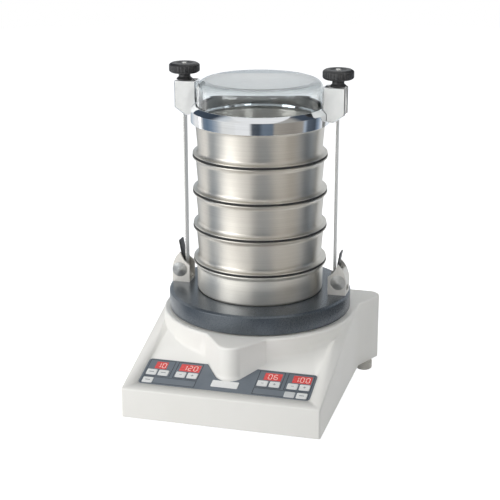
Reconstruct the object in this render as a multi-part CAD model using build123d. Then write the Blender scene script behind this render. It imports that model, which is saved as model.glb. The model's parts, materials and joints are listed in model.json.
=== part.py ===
from build123d import *
from math import atan2, cos, hypot, pi, radians, sin, sqrt, tan
import os

# Sieve shaker for test sieves of the 200 mm class, in millimetres.
# +Z is up, the control panel faces -Y, and Z = 0 is the bench that the rubber feet stand on.
# The origin is the middle of the housing's outline. The sieve stack stands behind it, on the sieve axis.

# Clearances
slide_gap = 0.3          # between stacked pieces that lift off each other
running_gap = 0.05       # around pins and shafts that turn
key_gap = 0.35           # around a key cap in its window
seat_gap = 0.02          # between pieces that are clamped or glued face to face

# Housing
axis_to_front = 235.5    # from the sieve axis to the front wall
front_width = 297.0
side_width = 304.0       # where the side walls meet the flare of the rear block
rear_width = 349.0
axis_to_back = 107.5     # from the sieve axis to the back wall
flare_start = 42.0       # behind the sieve axis
flare_end = 89.0         # behind the sieve axis
rear_corner_radius = 17.0
foot_height = 13.0
front_height = 45.0
plateau_height = 105.5   # of the housing, without the feet
deck_slope = 13.9        # degrees
housing_wall = 3.5
edge_radius = 2.5
ridge_radius = 3.0
turret_ledge = 8.5       # around the sieve plate
turret_flare = 5.0       # from the plateau down to the foot
turret_rim_radius = 3.5
front_apron = 44.5       # from the front wall to the tip of the nose
nose_tip_radius = 22.0
nose_half_width = 46.0   # where it leaves the turret
nose_crease_radius = 6.0
turret_opening = 92.0    # radius
boss_radius = 7.0
boss_side_inset = 12.0
boss_front_inset = 22.0
boss_rear_reach = 25.0   # behind the sieve axis
back_crease_radius = 8.0

# Base plate and feet
plate_thickness = 3.0
foot_radius = 13.0
foot_front_inset = 52.0
foot_rear_inset = 40.0
foot_side_inset = 18.0
screw_radius = 2.0
screw_head_radius = 3.6
screw_head_height = 2.4
screw_length = 14.0

# Control panel, measured along the deck from the front edge
panel_half_width = 128.0
panel_start = 18.0
panel_end = 78.0
panel_corner = 5.0
panel_thickness = 1.0
panel_recess = 0.6
panel_nose_gap = 1.5
key_size = (15.4, 12.6)
key_height = 4.2
key_proud = 0.7
key_corner = 1.5
key_flange = 0.8
key_travel = 0.4
key_rows = (46.0, 26.5)
key_columns = (53.0, 71.0, 97.5, 115.5)
display_row = 63.5
display_depth = 17.0
display_height = 6.5
display_spans = ((-105.5, 18.0), (-61.0, 31.0), (65.0, 26.0), (108.5, 28.0))
badge_size = (40.0, 15.0)
badge_nose_gap = 4.4
badge_thickness = 0.8
board_thickness = 1.6
board_drop = 9.0         # from the deck's outer face to the top of the circuit board
board_margin = 4.0
pillar_radius = 2.6
pillar_reaches = (20.0, 34.0)
switch_size = 6.0

# Mains side, in the back wall
inlet_centre = (-136.0, 75.0)
inlet_flange = (31.0, 58.0)
inlet_flange_thickness = 2.0
inlet_body = (27.0, 54.0, 24.0)
socket_size = (17.0, 25.0, 17.0)
socket_lift = 7.0
socket_corner = 4.0
pin_size = (4.0, 9.0, 2.0)
pin_spacing = 7.0
pin_offset = 2.0
drawer_size = (17.0, 9.0, 13.0)
drawer_gap = 3.0
drawer_proud = 0.6
rocker_centre = (136.0, 75.0)
rocker_frame_size = (25.0, 31.0)
rocker_frame_wall = 2.5
rocker_depth = 16.0
rocker_angle = 9.0
rocker_tilt = 7.0        # either way from the middle
rocker_pin_radius = 1.5
rocker_pin_drop = 4.5    # behind the flange face
rocker_pin_reach = 1.1
back_pocket = 3.0
back_pocket_margin = 3.0
transformer_size = (48.0, 34.0, 48.0)
transformer_place = (122.0, 65.0)    # from the sieve axis
coil_bulge = 6.0
driver_board_size = (46.0, 54.0)
driver_board_place = (-121.0, 70.0)  # from the sieve axis
driver_board_lift = 6.0
capacitor_size = (8.0, 18.0)         # radius and height
heat_sink_size = (13.0, 34.0, 16.0)

# Electromagnetic drive under the sieve plate
drive_frame_radius = 88.0
drive_frame_thickness = 12.0
spring_circle = 70.0
spring_radius = 11.0
spring_wire = 4.0
spring_turns = 5
spring_count = 4
spring_cup_height = 5.0
core_size = (66.0, 40.0, 44.0)
core_leg = 12.0
core_back = 12.0
coil_wall = 9.0
air_gap = 2.6
armature_height = 9.0
column_radius = 18.0
column_flange_radius = 44.0
column_flange_thickness = 6.0
head_stroke = 1.0

# Sieve plate
plate_ledge = 2.5        # outside the strap brackets
sieve_plate_height = 29.5
sieve_plate_bevel = 4.0
sieve_plate_gap = 2.0    # above the turret
pan_seat_gap = 0.5       # around the pan's foot in its recess
pan_seat_depth = 1.6

# Sieves and pan
rim_radius = 103.0
sieve_pitch = 55.0
sieve_count = 4
sieve_wall = 1.0
body_radius = 98.0
waist_radius = 94.7
rim_drop = 5.2
rim_edge = 1.6
waist_drop = 46.7
flare_radius = 102.5
flare_edge = 1.5
flare_rise = 4.6
skirt_radius = 96.6
skirt_depth = 9.0
seal_section = 3.3
mesh_thickness = 0.6
pan_depth = 48.0
pan_foot_radius = 97.0
pan_corner = 4.0

# Clamp ring with its two clevises
ring_radius = 105.0
ring_below_rim = 3.6
ring_height = 17.7
ring_bevel = 7.4
ring_top_land = 1.6
clevis_inner = 97.5
clevis_outer = 131.5
clevis_top = 54.0        # above the top sieve's rim
clevis_flat = 41.0
clevis_chin = 12.0
cheek_thickness = 4.0
cheek_gap = 18.0

# Clear lid
lid_radius = 95.5
lid_wall = 3.0
lid_shoulder = 15.0
lid_height = 59.6        # above the top sieve's rim
lid_flange = 3.4

# Tension straps, spindles and knobs
strap_cover = 13.0       # from the middle of the strap to the outer side of the clevis
strap_width = 16.0
strap_thickness = 1.6
tooth_pitch = 2.5
tooth_depth = 0.9
strap_bottom_gap = 5.0   # above the bracket's floor
spindle_radius = 4.0
spindle_block = (14.0, 8.0, 16.0)
knob_radius = 23.4
knob_height = 14.5
knob_chamfer = 3.2
knob_dish = 1.6
knob_neck_radius = 9.0
knob_neck_height = 11.0
knob_collar_radius = 12.2
knob_collar_height = 4.5
grip_count = 24
grip_depth = 0.7

# Strap brackets on the sieve plate
strap_to_pivot = 8.5
bracket_inside = 16.0          # reach of the bracket from its pivot, inwards and outwards
bracket_outside = 12.0
bracket_half_depth = 15.0
bracket_wall = 3.0
bracket_apex = (-0.7, 49.0)    # from the pivot across, and above the sieve plate
bracket_notch = (-7.5, 35.0)
bracket_shoulder = 28.0
bracket_arc_foot = 17.0
bracket_arc_bulge = (9.2, 34.5)
web_top = 39.0
web_slot = (7.0, 13.5)
pivot_height = 20.5
pivot_pin_radius = 2.5
pivot_disc_radius = 11.5
pivot_disc_thickness = 1.0
pin_head_radius = 4.2
pin_head_height = 1.8
sight_hole_radius = 1.4
sight_hole = (-2.3, 28.0)
lever_width = 18.0
lever_hub_radius = 5.4
lever_thickness = 2.2
lever_bend = (-1.8, 47.5)
lever_tip = (1.6, 66.5)
pawl_height = 4.0
pawl_gap = 0.35
bracket_screw_radius = 2.5
bracket_screw_offset = 3.5     # outside the pivot
bracket_screw_spread = 8.0     # either side of the middle
bracket_screw_length = 11.0   # into the sieve plate

# Levels and places worked out from the sizes above
strap_reach = clevis_outer - strap_cover
pivot_reach = strap_reach + strap_to_pivot
bracket_inner = pivot_reach - bracket_inside
bracket_outer = pivot_reach + bracket_outside
bracket_screw_reach = pivot_reach + bracket_screw_offset
sieve_plate_radius = bracket_outer + plate_ledge
turret_radius = sieve_plate_radius + turret_ledge
turret_foot_radius = turret_radius + turret_flare
nose_reach = axis_to_front - front_apron
badge_row = front_apron / cos(radians(deck_slope)) - badge_nose_gap - badge_size[1] / 2
axis_y = (axis_to_front - turret_radius) / 2
front_y = axis_y - axis_to_front
back_y = axis_y + axis_to_back
plateau_z = foot_height + plateau_height
front_top_z = foot_height + front_height
deck_rise = (plateau_z - front_top_z) / tan(radians(deck_slope))
plate_bottom_z = plateau_z + sieve_plate_gap
plate_top_z = plate_bottom_z + sieve_plate_height
pan_bottom_z = plate_top_z - pan_seat_depth + slide_gap
pan_rim_z = pan_bottom_z + pan_depth
seal_gap_z = seal_section + slide_gap
stack_rims = [pan_rim_z + sieve_pitch * (n + 1) for n in range(sieve_count)]
top_rim_z = stack_rims[-1]
ring_bottom_z = top_rim_z - ring_below_rim
ring_shoulder_z = top_rim_z + slide_gap + lid_flange + slide_gap
clevis_top_z = top_rim_z + clevis_top
bracket_floor_z = plate_top_z + bracket_wall
pivot_z = plate_top_z + pivot_height
knob_bottom_z = clevis_top_z + seat_gap
knob_rim_z = knob_bottom_z + knob_neck_height
knob_top_z = knob_rim_z + knob_height
base_plate_top_z = foot_height + plate_thickness
drive_frame_top_z = base_plate_top_z + drive_frame_thickness
core_top_z = drive_frame_top_z + core_size[2]
armature_bottom_z = core_top_z + air_gap
armature_top_z = armature_bottom_z + armature_height
spring_bottom_z = drive_frame_top_z + seat_gap
spring_top_z = plate_bottom_z - seat_gap
deck_plane = Plane(origin=(0, front_y, front_top_z), x_dir=(1, 0, 0),
                   z_dir=(0, -sin(radians(deck_slope)), cos(radians(deck_slope))))
MIN = (Align.CENTER, Align.CENTER, Align.MIN)


def on_axis(shape):
    """Move a piece modelled around the Z axis onto the sieve axis."""
    return Pos(0, axis_y, 0) * shape


def turned(*points):
    """A turned piece from the (radius, height) corners of its section."""
    section = Plane.XZ * make_face(Polyline(*points, close=True))
    return on_axis(revolve(section, Axis.Z))


def side_profile(points, half_width):
    """A piece with an X-Z outline, as wide in Y as twice half_width, about the sieve axis."""
    outline = Plane.XZ * make_face(Polyline(*points, close=True))
    return on_axis(extrude(outline, amount=half_width, both=True))


def block(x0, x1, y0, y1, z0, z1):
    """A box between two corners."""
    return Pos(x0, y0, z0) * Box(x1 - x0, y1 - y0, z1 - z0, align=(Align.MIN, Align.MIN, Align.MIN))


def rod(x, y, z0, z1, radius):
    """An upright cylinder."""
    return Pos(x, y, z0) * Cylinder(radius, z1 - z0, align=MIN)


def mirrored(shape):
    """The same piece on the left side."""
    return mirror(shape, about=Plane.YZ)


# Housing and base

def housing_plan(inset=0.0):
    """Outline of the housing seen from above, drawn inwards by inset, with the turret's round back."""
    half = [(front_width / 2 - inset, front_y + inset),
            (side_width / 2 - inset, axis_y + flare_start + inset * 0.2),
            (rear_width / 2 - inset, axis_y + flare_end + inset * 0.2),
            (rear_width / 2 - inset, back_y - inset)]
    outline = half + [(-x, y) for x, y in reversed(half)]
    plan = make_face(Polyline(*outline, close=True))
    rear = [v for v in plan.vertices() if abs(v.Y - (back_y - inset)) < 0.01]
    plan = fillet(rear, rear_corner_radius - inset)
    plan = plan + Pos(0, axis_y) * Circle(turret_radius - inset)
    straight = rear_width / 2 - rear_corner_radius - 1
    creases = [v for v in plan.vertices() if abs(v.Y - (back_y - inset)) < 0.01 and abs(v.X) < straight]
    return fillet(creases, back_crease_radius + inset)


def above_deck(drop=0.0):
    """Everything over the deck and the plateau, lowered by drop, for cutting the housing."""
    low = front_top_z - drop
    high = plateau_z - drop
    reach = 20.0
    slope = tan(radians(deck_slope))
    points = [(front_y - reach, low - reach * slope), (front_y + deck_rise, high),
              (-front_y + reach, high), (-front_y + reach, plateau_z + reach),
              (front_y - reach, plateau_z + reach)]
    side = Plane.YZ * make_face(Polyline(*points, close=True))
    return extrude(side, amount=rear_width, both=True)


def turret(inset=0.0, rim=0.0):
    """The round raised seat of the sieve plate with its nose, flaring downwards, drawn inwards by inset."""
    tip = nose_tip_radius - inset
    centre = -(nose_reach - nose_tip_radius)
    radius = turret_radius - inset
    start = (nose_half_width - inset, -sqrt(radius ** 2 - (nose_half_width - inset) ** 2))
    run = (start[0], start[1] - centre)
    reach = hypot(*run)
    lean = atan2(run[1], run[0]) - atan2(sqrt(reach ** 2 - tip ** 2), tip)
    touch = (tip * cos(lean), centre + tip * sin(lean))
    sides = Polyline((0, start[1] + 60.0), (start[0], start[1] + 60.0), start, touch)
    edge = sides.edges() + [ThreePointArc(touch, (0, centre - tip), (-touch[0], touch[1]))]
    edge += mirror(sides, about=Plane.YZ).edges()
    plan = Circle(radius) + make_face(edge)
    corners = [v for v in plan.vertices() if abs(v.Y - start[1]) < 0.01]
    plan = fillet(corners, nose_crease_radius)
    height = plateau_height - inset
    flare = -atan2(turret_foot_radius - turret_radius, plateau_height) * 180 / pi
    seat = extrude(Pos(0, axis_y, plateau_z - inset) * plan, amount=height, dir=(0, 0, -1), taper=flare)
    if rim:
        seat = fillet(seat.faces().sort_by(Axis.Z)[-1].edges(), rim)
    return seat


def housing_shell():
    """Moulded housing: wedge-shaped deck, turret with nose, wider rear block, hollow from below."""
    block_form = extrude(Pos(0, 0, foot_height) * housing_plan(), amount=plateau_height)
    low = rounded_wedge(block_form - above_deck())
    body = low + (turret(rim=turret_rim_radius) & block_form)
    cavity = extrude(Pos(0, 0, foot_height) * housing_plan(housing_wall), amount=plateau_height)
    ceiling = extrude(Pos(0, 0, foot_height) * housing_plan(housing_wall), amount=plateau_height - housing_wall)
    cavity = (cavity - above_deck(housing_wall)) + (turret(housing_wall) & ceiling)
    body -= cavity
    body -= rod(0, axis_y, foot_height, plateau_z + 1, turret_opening)
    for x, y in boss_places():
        deck_z = front_top_z + (y - front_y) * tan(radians(deck_slope))
        top = min(deck_z, plateau_z) - housing_wall / 2
        body += rod(x, y, base_plate_top_z + seat_gap, top, boss_radius)
        body -= rod(x, y, foot_height, base_plate_top_z + screw_length, screw_radius)
    body -= panel_pocket()
    body -= inlet_opening()
    body -= rocker_opening()
    return body


def rounded_wedge(shape):
    """Round the front corners and the upper edges of the lower housing."""
    upright = [e for e in shape.edges().filter_by(Axis.Z) if e.center().Y < front_y + 1]
    shape = fillet(upright, edge_radius + 1.0)
    fold_y = front_y + deck_rise
    upper = []
    for e in shape.edges():
        size = e.bounding_box().size
        low_edge = e.center().Z < front_top_z - 1
        upright_edge = size.X < 0.01 and size.Y < 0.01
        fold = size.Y < 0.01 and abs(e.center().Y - fold_y) < 0.1
        if not (low_edge or upright_edge or fold):
            upper.append(e)
    return fillet(upper, edge_radius)


def boss_places():
    """Screw bosses: two in the front corners, two beside the turret."""
    front = front_width / 2 - boss_side_inset
    rear = side_width / 2 - boss_side_inset
    return [(-front, front_y + boss_front_inset), (front, front_y + boss_front_inset),
            (-rear, axis_y + boss_rear_reach), (rear, axis_y + boss_rear_reach)]


def foot_places():
    """Centres of the rubber feet."""
    front = front_width / 2 - foot_side_inset - foot_radius
    rear = rear_width / 2 - foot_side_inset
    return [(-front, front_y + foot_front_inset), (front, front_y + foot_front_inset),
            (-rear, back_y - foot_rear_inset), (rear, back_y - foot_rear_inset)]


def base_plate():
    """Steel floor of the housing."""
    plan = Pos(0, 0, foot_height) * housing_plan(housing_wall + slide_gap)
    plate = extrude(plan, amount=plate_thickness)
    for x, y in boss_places() + foot_places():
        plate -= rod(x, y, 0, base_plate_top_z + 1, screw_radius + running_gap)
    return plate


def rubber_feet():
    """Four round feet with a chamfered tread."""
    foot = Cylinder(foot_radius, foot_height - seat_gap, align=MIN)
    foot = chamfer(foot.edges().group_by(Axis.Z)[0], 1.5)
    foot -= Cylinder(screw_head_radius + running_gap, screw_head_height + 3.0, align=MIN)
    foot -= Cylinder(screw_radius + running_gap, foot_height, align=MIN)
    return Compound(children=[Pos(x, y, 0) * foot for x, y in foot_places()])


def base_screws():
    """Pan-head screws: one through each foot, one up into each boss."""
    screw = Cylinder(screw_head_radius, screw_head_height, align=MIN)
    screw = chamfer(screw.edges().group_by(Axis.Z)[0], 0.8)
    shank = Pos(0, 0, screw_head_height) * Cylinder(screw_radius - seat_gap, screw_length, align=MIN)
    screw += shank
    low = 3.0
    high = foot_height - screw_head_height - seat_gap
    screws = [Pos(x, y, low) * screw for x, y in foot_places()]
    screws += [Pos(x, y, high) * screw for x, y in boss_places()]
    return Compound(children=screws)


# Control panel

def panel_outline(inset=0.0):
    """Rounded panel field on the deck with the nose cut out of its upper edge."""
    width = 2 * (panel_half_width - inset)
    depth = panel_end - panel_start - 2 * inset
    middle = (panel_start + panel_end) / 2
    return Pos(0, middle) * RectangleRounded(width, depth, panel_corner - inset)


def on_deck(shape):
    """Place a piece drawn on the deck: X across, Y up the slope, Z out of it."""
    return deck_plane.location * shape


def nose_clearance():
    """The turret and nose grown by the gap that the panel keeps from them."""
    return turret(-panel_nose_gap)


def panel_pocket():
    """Recess in the deck for the panel, with one opening under the keys and displays of each side."""
    pocket = extrude(panel_outline(-0.2), amount=-panel_recess) + extrude(panel_outline(-0.2), amount=1)
    inner = key_columns[0] - key_size[0] / 2 - 8
    outer = key_columns[-1] + key_size[0] / 2 + 1
    low = key_rows[1] - key_size[1] / 2 - 1
    high = display_row + display_depth / 2 + 1
    for side in (-1, 1):
        window = Pos(side * (inner + outer) / 2, (low + high) / 2) * Rectangle(outer - inner, high - low)
        pocket += extrude(window, amount=-housing_wall - 3)
    return on_deck(pocket) - turret(-0.4)


def key_places():
    """Centres of the eleven keys on the deck: five on the left, six on the right."""
    upper, lower = key_rows
    a, b, c, d = key_columns
    left = [(-d, upper), (-c, upper), (-b, upper), (-a, upper), (-d, lower)]
    right = [(a, upper), (b, upper), (c, upper), (d, upper), (c, lower), (d, lower)]
    return left, right


def panel_membrane():
    """Slate panel sheet with windows for the keys and the displays."""
    sheet = extrude(panel_outline(), amount=panel_thickness)
    left, right = key_places()
    width, depth = key_size
    for x, y in left + right:
        window = RectangleRounded(width + 2 * key_gap, depth + 2 * key_gap, key_corner + key_gap)
        sheet -= Pos(x, y, -1) * extrude(window, amount=4)
    for x, span in display_spans:
        window = Rectangle(span + 2 * seat_gap, display_depth + 2 * seat_gap)
        sheet -= Pos(x, display_row, -1) * extrude(window, amount=4)
    sheet = Pos(0, 0, -panel_recess + seat_gap) * sheet
    return on_deck(sheet) - nose_clearance()


def panel_top():
    """Height of the panel's face above the deck."""
    return panel_thickness - panel_recess + seat_gap


def key_cap(place):
    """One key cap: rounded top, a flange that holds it under the panel and a short stem."""
    width, depth = key_size
    cap = extrude(RectangleRounded(width, depth, key_corner), amount=key_proud + panel_top())
    cap += extrude(RectangleRounded(width, depth, key_corner), amount=-key_height)
    cap = chamfer(cap.edges().group_by(Axis.Z)[-1], 0.3)
    flange_top = -panel_recess - slide_gap
    cap += Pos(0, 0, flange_top) * extrude(Rectangle(width + 1.6, depth + 1.6), amount=-key_flange)
    stem_end = -board_drop + switch_top() + key_travel + 0.1
    cap += Pos(0, 0, -key_height) * extrude(Rectangle(3, 3), amount=stem_end + key_height)
    return on_deck(Pos(place[0], place[1]) * cap)


def switch_top():
    """Height of a switch's plunger above the circuit board."""
    return 2.6


def led_displays():
    """Seven-segment display blocks, flush with the panel."""
    blocks = []
    for x, span in display_spans:
        face = Rectangle(span, display_depth)
        solid = extrude(face, amount=-display_height)
        blocks.append(on_deck(Pos(x, display_row, panel_top() - 0.1) * solid))
    return Compound(children=blocks)


def badge_plate():
    """Bare white plate in front of the nose."""
    plate = extrude(RectangleRounded(*badge_size, 1.5), amount=badge_thickness)
    plate = chamfer(plate.edges().group_by(Axis.Z)[-1], 0.25)
    return on_deck(Pos(0, badge_row, panel_top() + seat_gap) * plate)


def control_board():
    """Circuit board under the panel, on four pillars that reach up to the deck."""
    half = key_columns[-1] + key_size[0] / 2 + board_margin
    low = key_rows[1] - key_size[1] / 2 - board_margin
    high = display_row + display_depth / 2 + board_margin
    middle = (low + high) / 2
    board = Pos(0, middle, -board_drop - board_thickness) * Box(2 * half, high - low, board_thickness,
                                                                align=MIN)
    pillar_top = -housing_wall - seat_gap
    pillar = Cylinder(pillar_radius, board_drop + pillar_top, align=MIN)
    for reach in pillar_reaches:
        for side in (-1, 1):
            board += Pos(side * reach, low + 2 * pillar_radius, -board_drop) * pillar
    return on_deck(board)


def key_switches():
    """Tact switches on the board, one under each key."""
    base = Box(switch_size, switch_size, 1.8, align=MIN)
    base += Cylinder(1.6, switch_top(), align=MIN)
    left, right = key_places()
    return Compound(children=[on_deck(Pos(x, y, -board_drop + seat_gap) * base) for x, y in left + right])


# Mains side

def inlet_face_y():
    """Rear face of the recessed wall, where flanges rest."""
    return back_y - back_pocket + seat_gap


def inlet_opening():
    """Recess in the back wall for the inlet's flange, with the hole for its body."""
    x, z = inlet_centre
    half_w = inlet_flange[0] / 2 + back_pocket_margin
    half_h = inlet_flange[1] / 2 + back_pocket_margin
    body_w = inlet_body[0] / 2 + 0.1
    body_h = inlet_body[1] / 2 + 0.1
    recess = block(x - half_w, x + half_w, back_y - back_pocket, back_y + 1, z - half_h, z + half_h)
    return recess + block(x - body_w, x + body_w, back_y - inlet_body[2], back_y, z - body_h, z + body_h)


def rocker_opening():
    """Recess in the back wall for the switch bezel, with the hole for its body."""
    x, z = rocker_centre
    half_w = rocker_frame_size[0] / 2 + back_pocket_margin
    half_h = rocker_frame_size[1] / 2 + back_pocket_margin
    body_w = rocker_frame_size[0] / 2 - rocker_frame_wall / 2
    body_h = rocker_frame_size[1] / 2 - rocker_frame_wall / 2
    recess = block(x - half_w, x + half_w, back_y - back_pocket, back_y + 1, z - half_h, z + half_h)
    return recess + block(x - body_w, x + body_w, back_y - 20, back_y, z - body_h, z + body_h)


def mains_inlet():
    """Upright appliance inlet: flange on the back wall, moulded body, open socket and a drawer slot."""
    x, z = inlet_centre
    face = inlet_face_y()
    front = face + inlet_flange_thickness
    width, height = inlet_flange
    inlet = block(x - width / 2, x + width / 2, face, front, z - height / 2, z + height / 2)
    body_w, body_h, body_d = inlet_body
    inlet += block(x - body_w / 2, x + body_w / 2, face - body_d, face, z - body_h / 2, z + body_h / 2)
    sock_w, sock_h, sock_d = socket_size
    mid = z + socket_lift
    socket = block(x - sock_w / 2, x + sock_w / 2, front - sock_d, front + 1, mid - sock_h / 2, mid + sock_h / 2)
    corners = [e for e in socket.edges().filter_by(Axis.Y) if e.center().X > x]
    inlet -= chamfer(corners, socket_corner)
    slot_w, slot_h, slot_d = drawer_size
    top = drawer_top_z()
    inlet -= block(x - slot_w / 2, x + slot_w / 2, front - slot_d - 1, front + 1, top - slot_h, top)
    return inlet


def drawer_top_z():
    """Upper side of the fuse drawer's slot."""
    return inlet_centre[1] + socket_lift - socket_size[1] / 2 - drawer_gap


def inlet_pins():
    """Three blade contacts inside the socket."""
    x, z = inlet_centre
    back = inlet_face_y() + inlet_flange_thickness - socket_size[2] + seat_gap
    w, d, h = pin_size
    pins = []
    for row, column in ((-pin_spacing, 0), (0, pin_offset), (pin_spacing, 0)):
        middle = z + socket_lift + row
        pins.append(block(x + column - w / 2, x + column + w / 2, back, back + d, middle - h / 2, middle + h / 2))
    return Compound(children=pins)


def fuse_drawer():
    """Fuse drawer under the socket."""
    x = inlet_centre[0]
    front = inlet_face_y() + inlet_flange_thickness
    slot_w, slot_h, slot_d = drawer_size
    gap = 2 * running_gap
    top = drawer_top_z()
    return block(x - slot_w / 2 + gap, x + slot_w / 2 - gap, front - slot_d, front + drawer_proud,
                 top - slot_h + gap, top - gap)


def rocker_frame():
    """Bezel of the power switch with its pivot cheeks."""
    x, z = rocker_centre
    face = inlet_face_y()
    width, height = rocker_frame_size
    wall = rocker_frame_wall
    frame = block(x - width / 2, x + width / 2, face, face + 1.6, z - height / 2, z + height / 2)
    frame += block(x - width / 2 + wall / 2 + 0.1, x + width / 2 - wall / 2 - 0.1, face - rocker_depth, face,
                   z - height / 2 + wall / 2 + 0.1, z + height / 2 - wall / 2 - 0.1)
    frame -= block(x - width / 2 + wall, x + width / 2 - wall, face - rocker_depth + 2, face + 3,
                   z - height / 2 + wall, z + height / 2 - wall)
    return frame - rocker_pivot(rocker_pin_radius + running_gap, width)


def rocker_pivot(radius, length):
    """Lying cylinder on the switch's pivot."""
    return Pos(rocker_centre[0], inlet_face_y() - rocker_pin_drop, rocker_centre[1]) * (
        Rot(0, 90, 0) * Cylinder(radius, length))


def rocker_key():
    """Power rocker with a shallow V across its face and a stub pin on each side, resting switched off."""
    x, z = rocker_centre
    half_w = rocker_frame_size[0] / 2 - rocker_frame_wall - 0.25
    half_h = rocker_frame_size[1] / 2 - rocker_frame_wall - 1.1
    face = inlet_face_y()
    drop = half_h * tan(radians(rocker_angle))
    points = [(face - 6.5, z - 3), (face - 2.2, z - half_h), (face - 0.2, z - half_h),
              (face - 0.2 - drop * 0.25, z), (face - 0.2, z + half_h), (face - 2.2, z + half_h),
              (face - 6.5, z + 3)]
    side = Plane.YZ * make_face(Polyline(*points, close=True))
    key = Pos(x, 0, 0) * extrude(side, amount=half_w, both=True)
    key += rocker_pivot(rocker_pin_radius, 2 * (half_w + rocker_pin_reach))
    pivot = Pos(0, face - rocker_pin_drop, z)
    return pivot * Rot(-rocker_tilt, 0, 0) * pivot.inverse() * key


def transformer_core():
    """Laminated core of the supply transformer, standing on the base plate."""
    x = transformer_place[0]
    y = axis_y + transformer_place[1]
    width, depth, height = transformer_size
    z = base_plate_top_z + seat_gap
    core = block(x - width / 2, x + width / 2, y - depth / 2, y + depth / 2, z, z + height)
    limb = width / 6
    for side in (-1, 1):
        gap = x + side * width / 4
        core -= block(gap - limb / 2 - 2, gap + limb / 2 + 2, y - depth, y + depth, z + limb, z + height - limb)
    return core


def transformer_coil():
    """Winding around the middle limb of the transformer core."""
    x = transformer_place[0]
    y = axis_y + transformer_place[1]
    width, depth, height = transformer_size
    z = base_plate_top_z + seat_gap
    limb = width / 6
    inner = (width / 2 - limb - 4) / 2 + seat_gap
    outer = inner + limb + 4 - 2 * seat_gap - 0.3
    coil = block(x - outer, x + outer, y - depth / 2 - coil_bulge, y + depth / 2 + coil_bulge,
                 z + limb + 0.3, z + height - limb - 0.3)
    coil -= block(x - inner, x + inner, y - depth / 2 - 0.1, y + depth / 2 + 0.1, z, z + height)
    return coil


def driver_board():
    """Power electronics on low pillars behind the inlet."""
    x = driver_board_place[0]
    y = axis_y + driver_board_place[1]
    width, depth = driver_board_size
    z = base_plate_top_z + seat_gap
    low = z + driver_board_lift
    top = low + board_thickness
    board = block(x - width / 2, x + width / 2, y - depth / 2, y + depth / 2, low, top)
    corner = driver_board_lift
    for side_x in (-1, 1):
        for side_y in (-1, 1):
            board += rod(x + side_x * (width / 2 - corner), y + side_y * (depth / 2 - corner), z, low, corner / 2)
    radius, height = capacitor_size
    board += rod(x - width / 4, y - depth / 4, top, top + height, radius)
    sink_w, sink_d, sink_h = heat_sink_size
    board += block(x + width / 3 - sink_w / 2, x + width / 3 + sink_w / 2, y - sink_d / 2, y + sink_d / 2,
                   top, top + sink_h)
    return board


# Drive

def spring_places():
    """Centres of the drive springs around the sieve axis."""
    step = 2 * pi / spring_count
    return [(spring_circle * cos(step * (n + 0.5)), spring_circle * sin(step * (n + 0.5)))
            for n in range(spring_count)]


def drive_frame():
    """Heavy cast frame on the base plate, with a spigot for each spring."""
    z = base_plate_top_z + seat_gap
    frame = rod(0, axis_y, z, drive_frame_top_z, drive_frame_radius)
    frame = chamfer(frame.edges().group_by(Axis.Z)[-1], 2.0)
    for x, y in spring_places():
        spigot = spring_radius - spring_wire / 2 - 0.4
        frame += rod(x, axis_y + y, drive_frame_top_z, drive_frame_top_z + spring_cup_height, spigot)
    return frame


def magnet_core():
    """Laminated E core of the drive magnet."""
    width, depth, height = core_size
    z = drive_frame_top_z + seat_gap
    core = block(-width / 2, width / 2, axis_y - depth / 2, axis_y + depth / 2, z, core_top_z)
    window = (width - 3 * core_leg) / 2
    for side in (-1, 1):
        gap = side * (core_leg + window) / 2
        core -= block(gap - window / 2, gap + window / 2, axis_y - depth, axis_y + depth,
                      z + core_back, core_top_z + 1)
    return core


def magnet_coil():
    """Winding on the middle leg of the drive magnet."""
    width, depth, height = core_size
    z = drive_frame_top_z + core_back + 0.3
    window = (width - 3 * core_leg) / 2
    inner = core_leg / 2 + 0.1
    outer = core_leg / 2 + window - 0.4
    coil = block(-outer, outer, axis_y - depth / 2 - coil_wall, axis_y + depth / 2 + coil_wall, z, core_top_z - 3)
    coil -= block(-inner, inner, axis_y - depth / 2 - 0.1, axis_y + depth / 2 + 0.1, z - 1, core_top_z)
    return coil


def drive_springs():
    """Helical springs that carry the vibrating head, with their ends ground flat."""
    height = spring_top_z - spring_bottom_z
    pitch = height / spring_turns
    path = Helix(pitch, height + 2 * spring_wire, spring_radius)
    section = Plane(origin=path @ 0, x_dir=(1, 0, 0), z_dir=path % 0) * Rectangle(spring_wire, spring_wire)
    coil = Pos(0, 0, -spring_wire) * sweep(section, path=path, is_frenet=True)
    coil = coil & Cylinder(spring_radius * 2, height, align=MIN)
    return Compound(children=[Pos(x, axis_y + y, spring_bottom_z) * coil for x, y in spring_places()])


def armature():
    """Laminated armature plate that the magnet pulls on."""
    width, depth, height = core_size
    return block(-width / 2, width / 2, axis_y - depth / 2, axis_y + depth / 2,
                 armature_bottom_z, armature_top_z)


def drive_column():
    """Spool between the armature and the sieve plate, flanged at its top."""
    low = armature_top_z + seat_gap
    high = plate_bottom_z - seat_gap
    neck = high - column_flange_thickness
    return turned((0, low), (column_radius + 6, low), (column_radius, low + 6), (column_radius, neck - 8),
                  (column_radius + 8, neck), (column_flange_radius, neck), (column_flange_radius, high), (0, high))


def sieve_plate():
    """Dark round plate that carries the stack: bevelled rim and a shallow recess for the pan."""
    r = sieve_plate_radius
    bevel = sieve_plate_bevel
    low = plate_bottom_z
    high = plate_top_z
    inner = pan_foot_radius + pan_seat_gap
    plate = turned((0, low), (r - 1.5, low), (r, low + 1.5), (r, high - bevel * 0.65), (r - bevel, high),
                   (inner, high), (inner, high - pan_seat_depth), (0, high - pan_seat_depth))
    for x, y in bracket_screw_places():
        plate -= rod(x, axis_y + y, high - bracket_screw_length, high + 1, bracket_screw_radius + seat_gap)
    return plate


def bracket_screw_places():
    """Centres of the bracket screws from the sieve axis, two on each side."""
    return [(side * bracket_screw_reach, y * bracket_screw_spread) for side in (-1, 1) for y in (-1, 1)]


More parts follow.
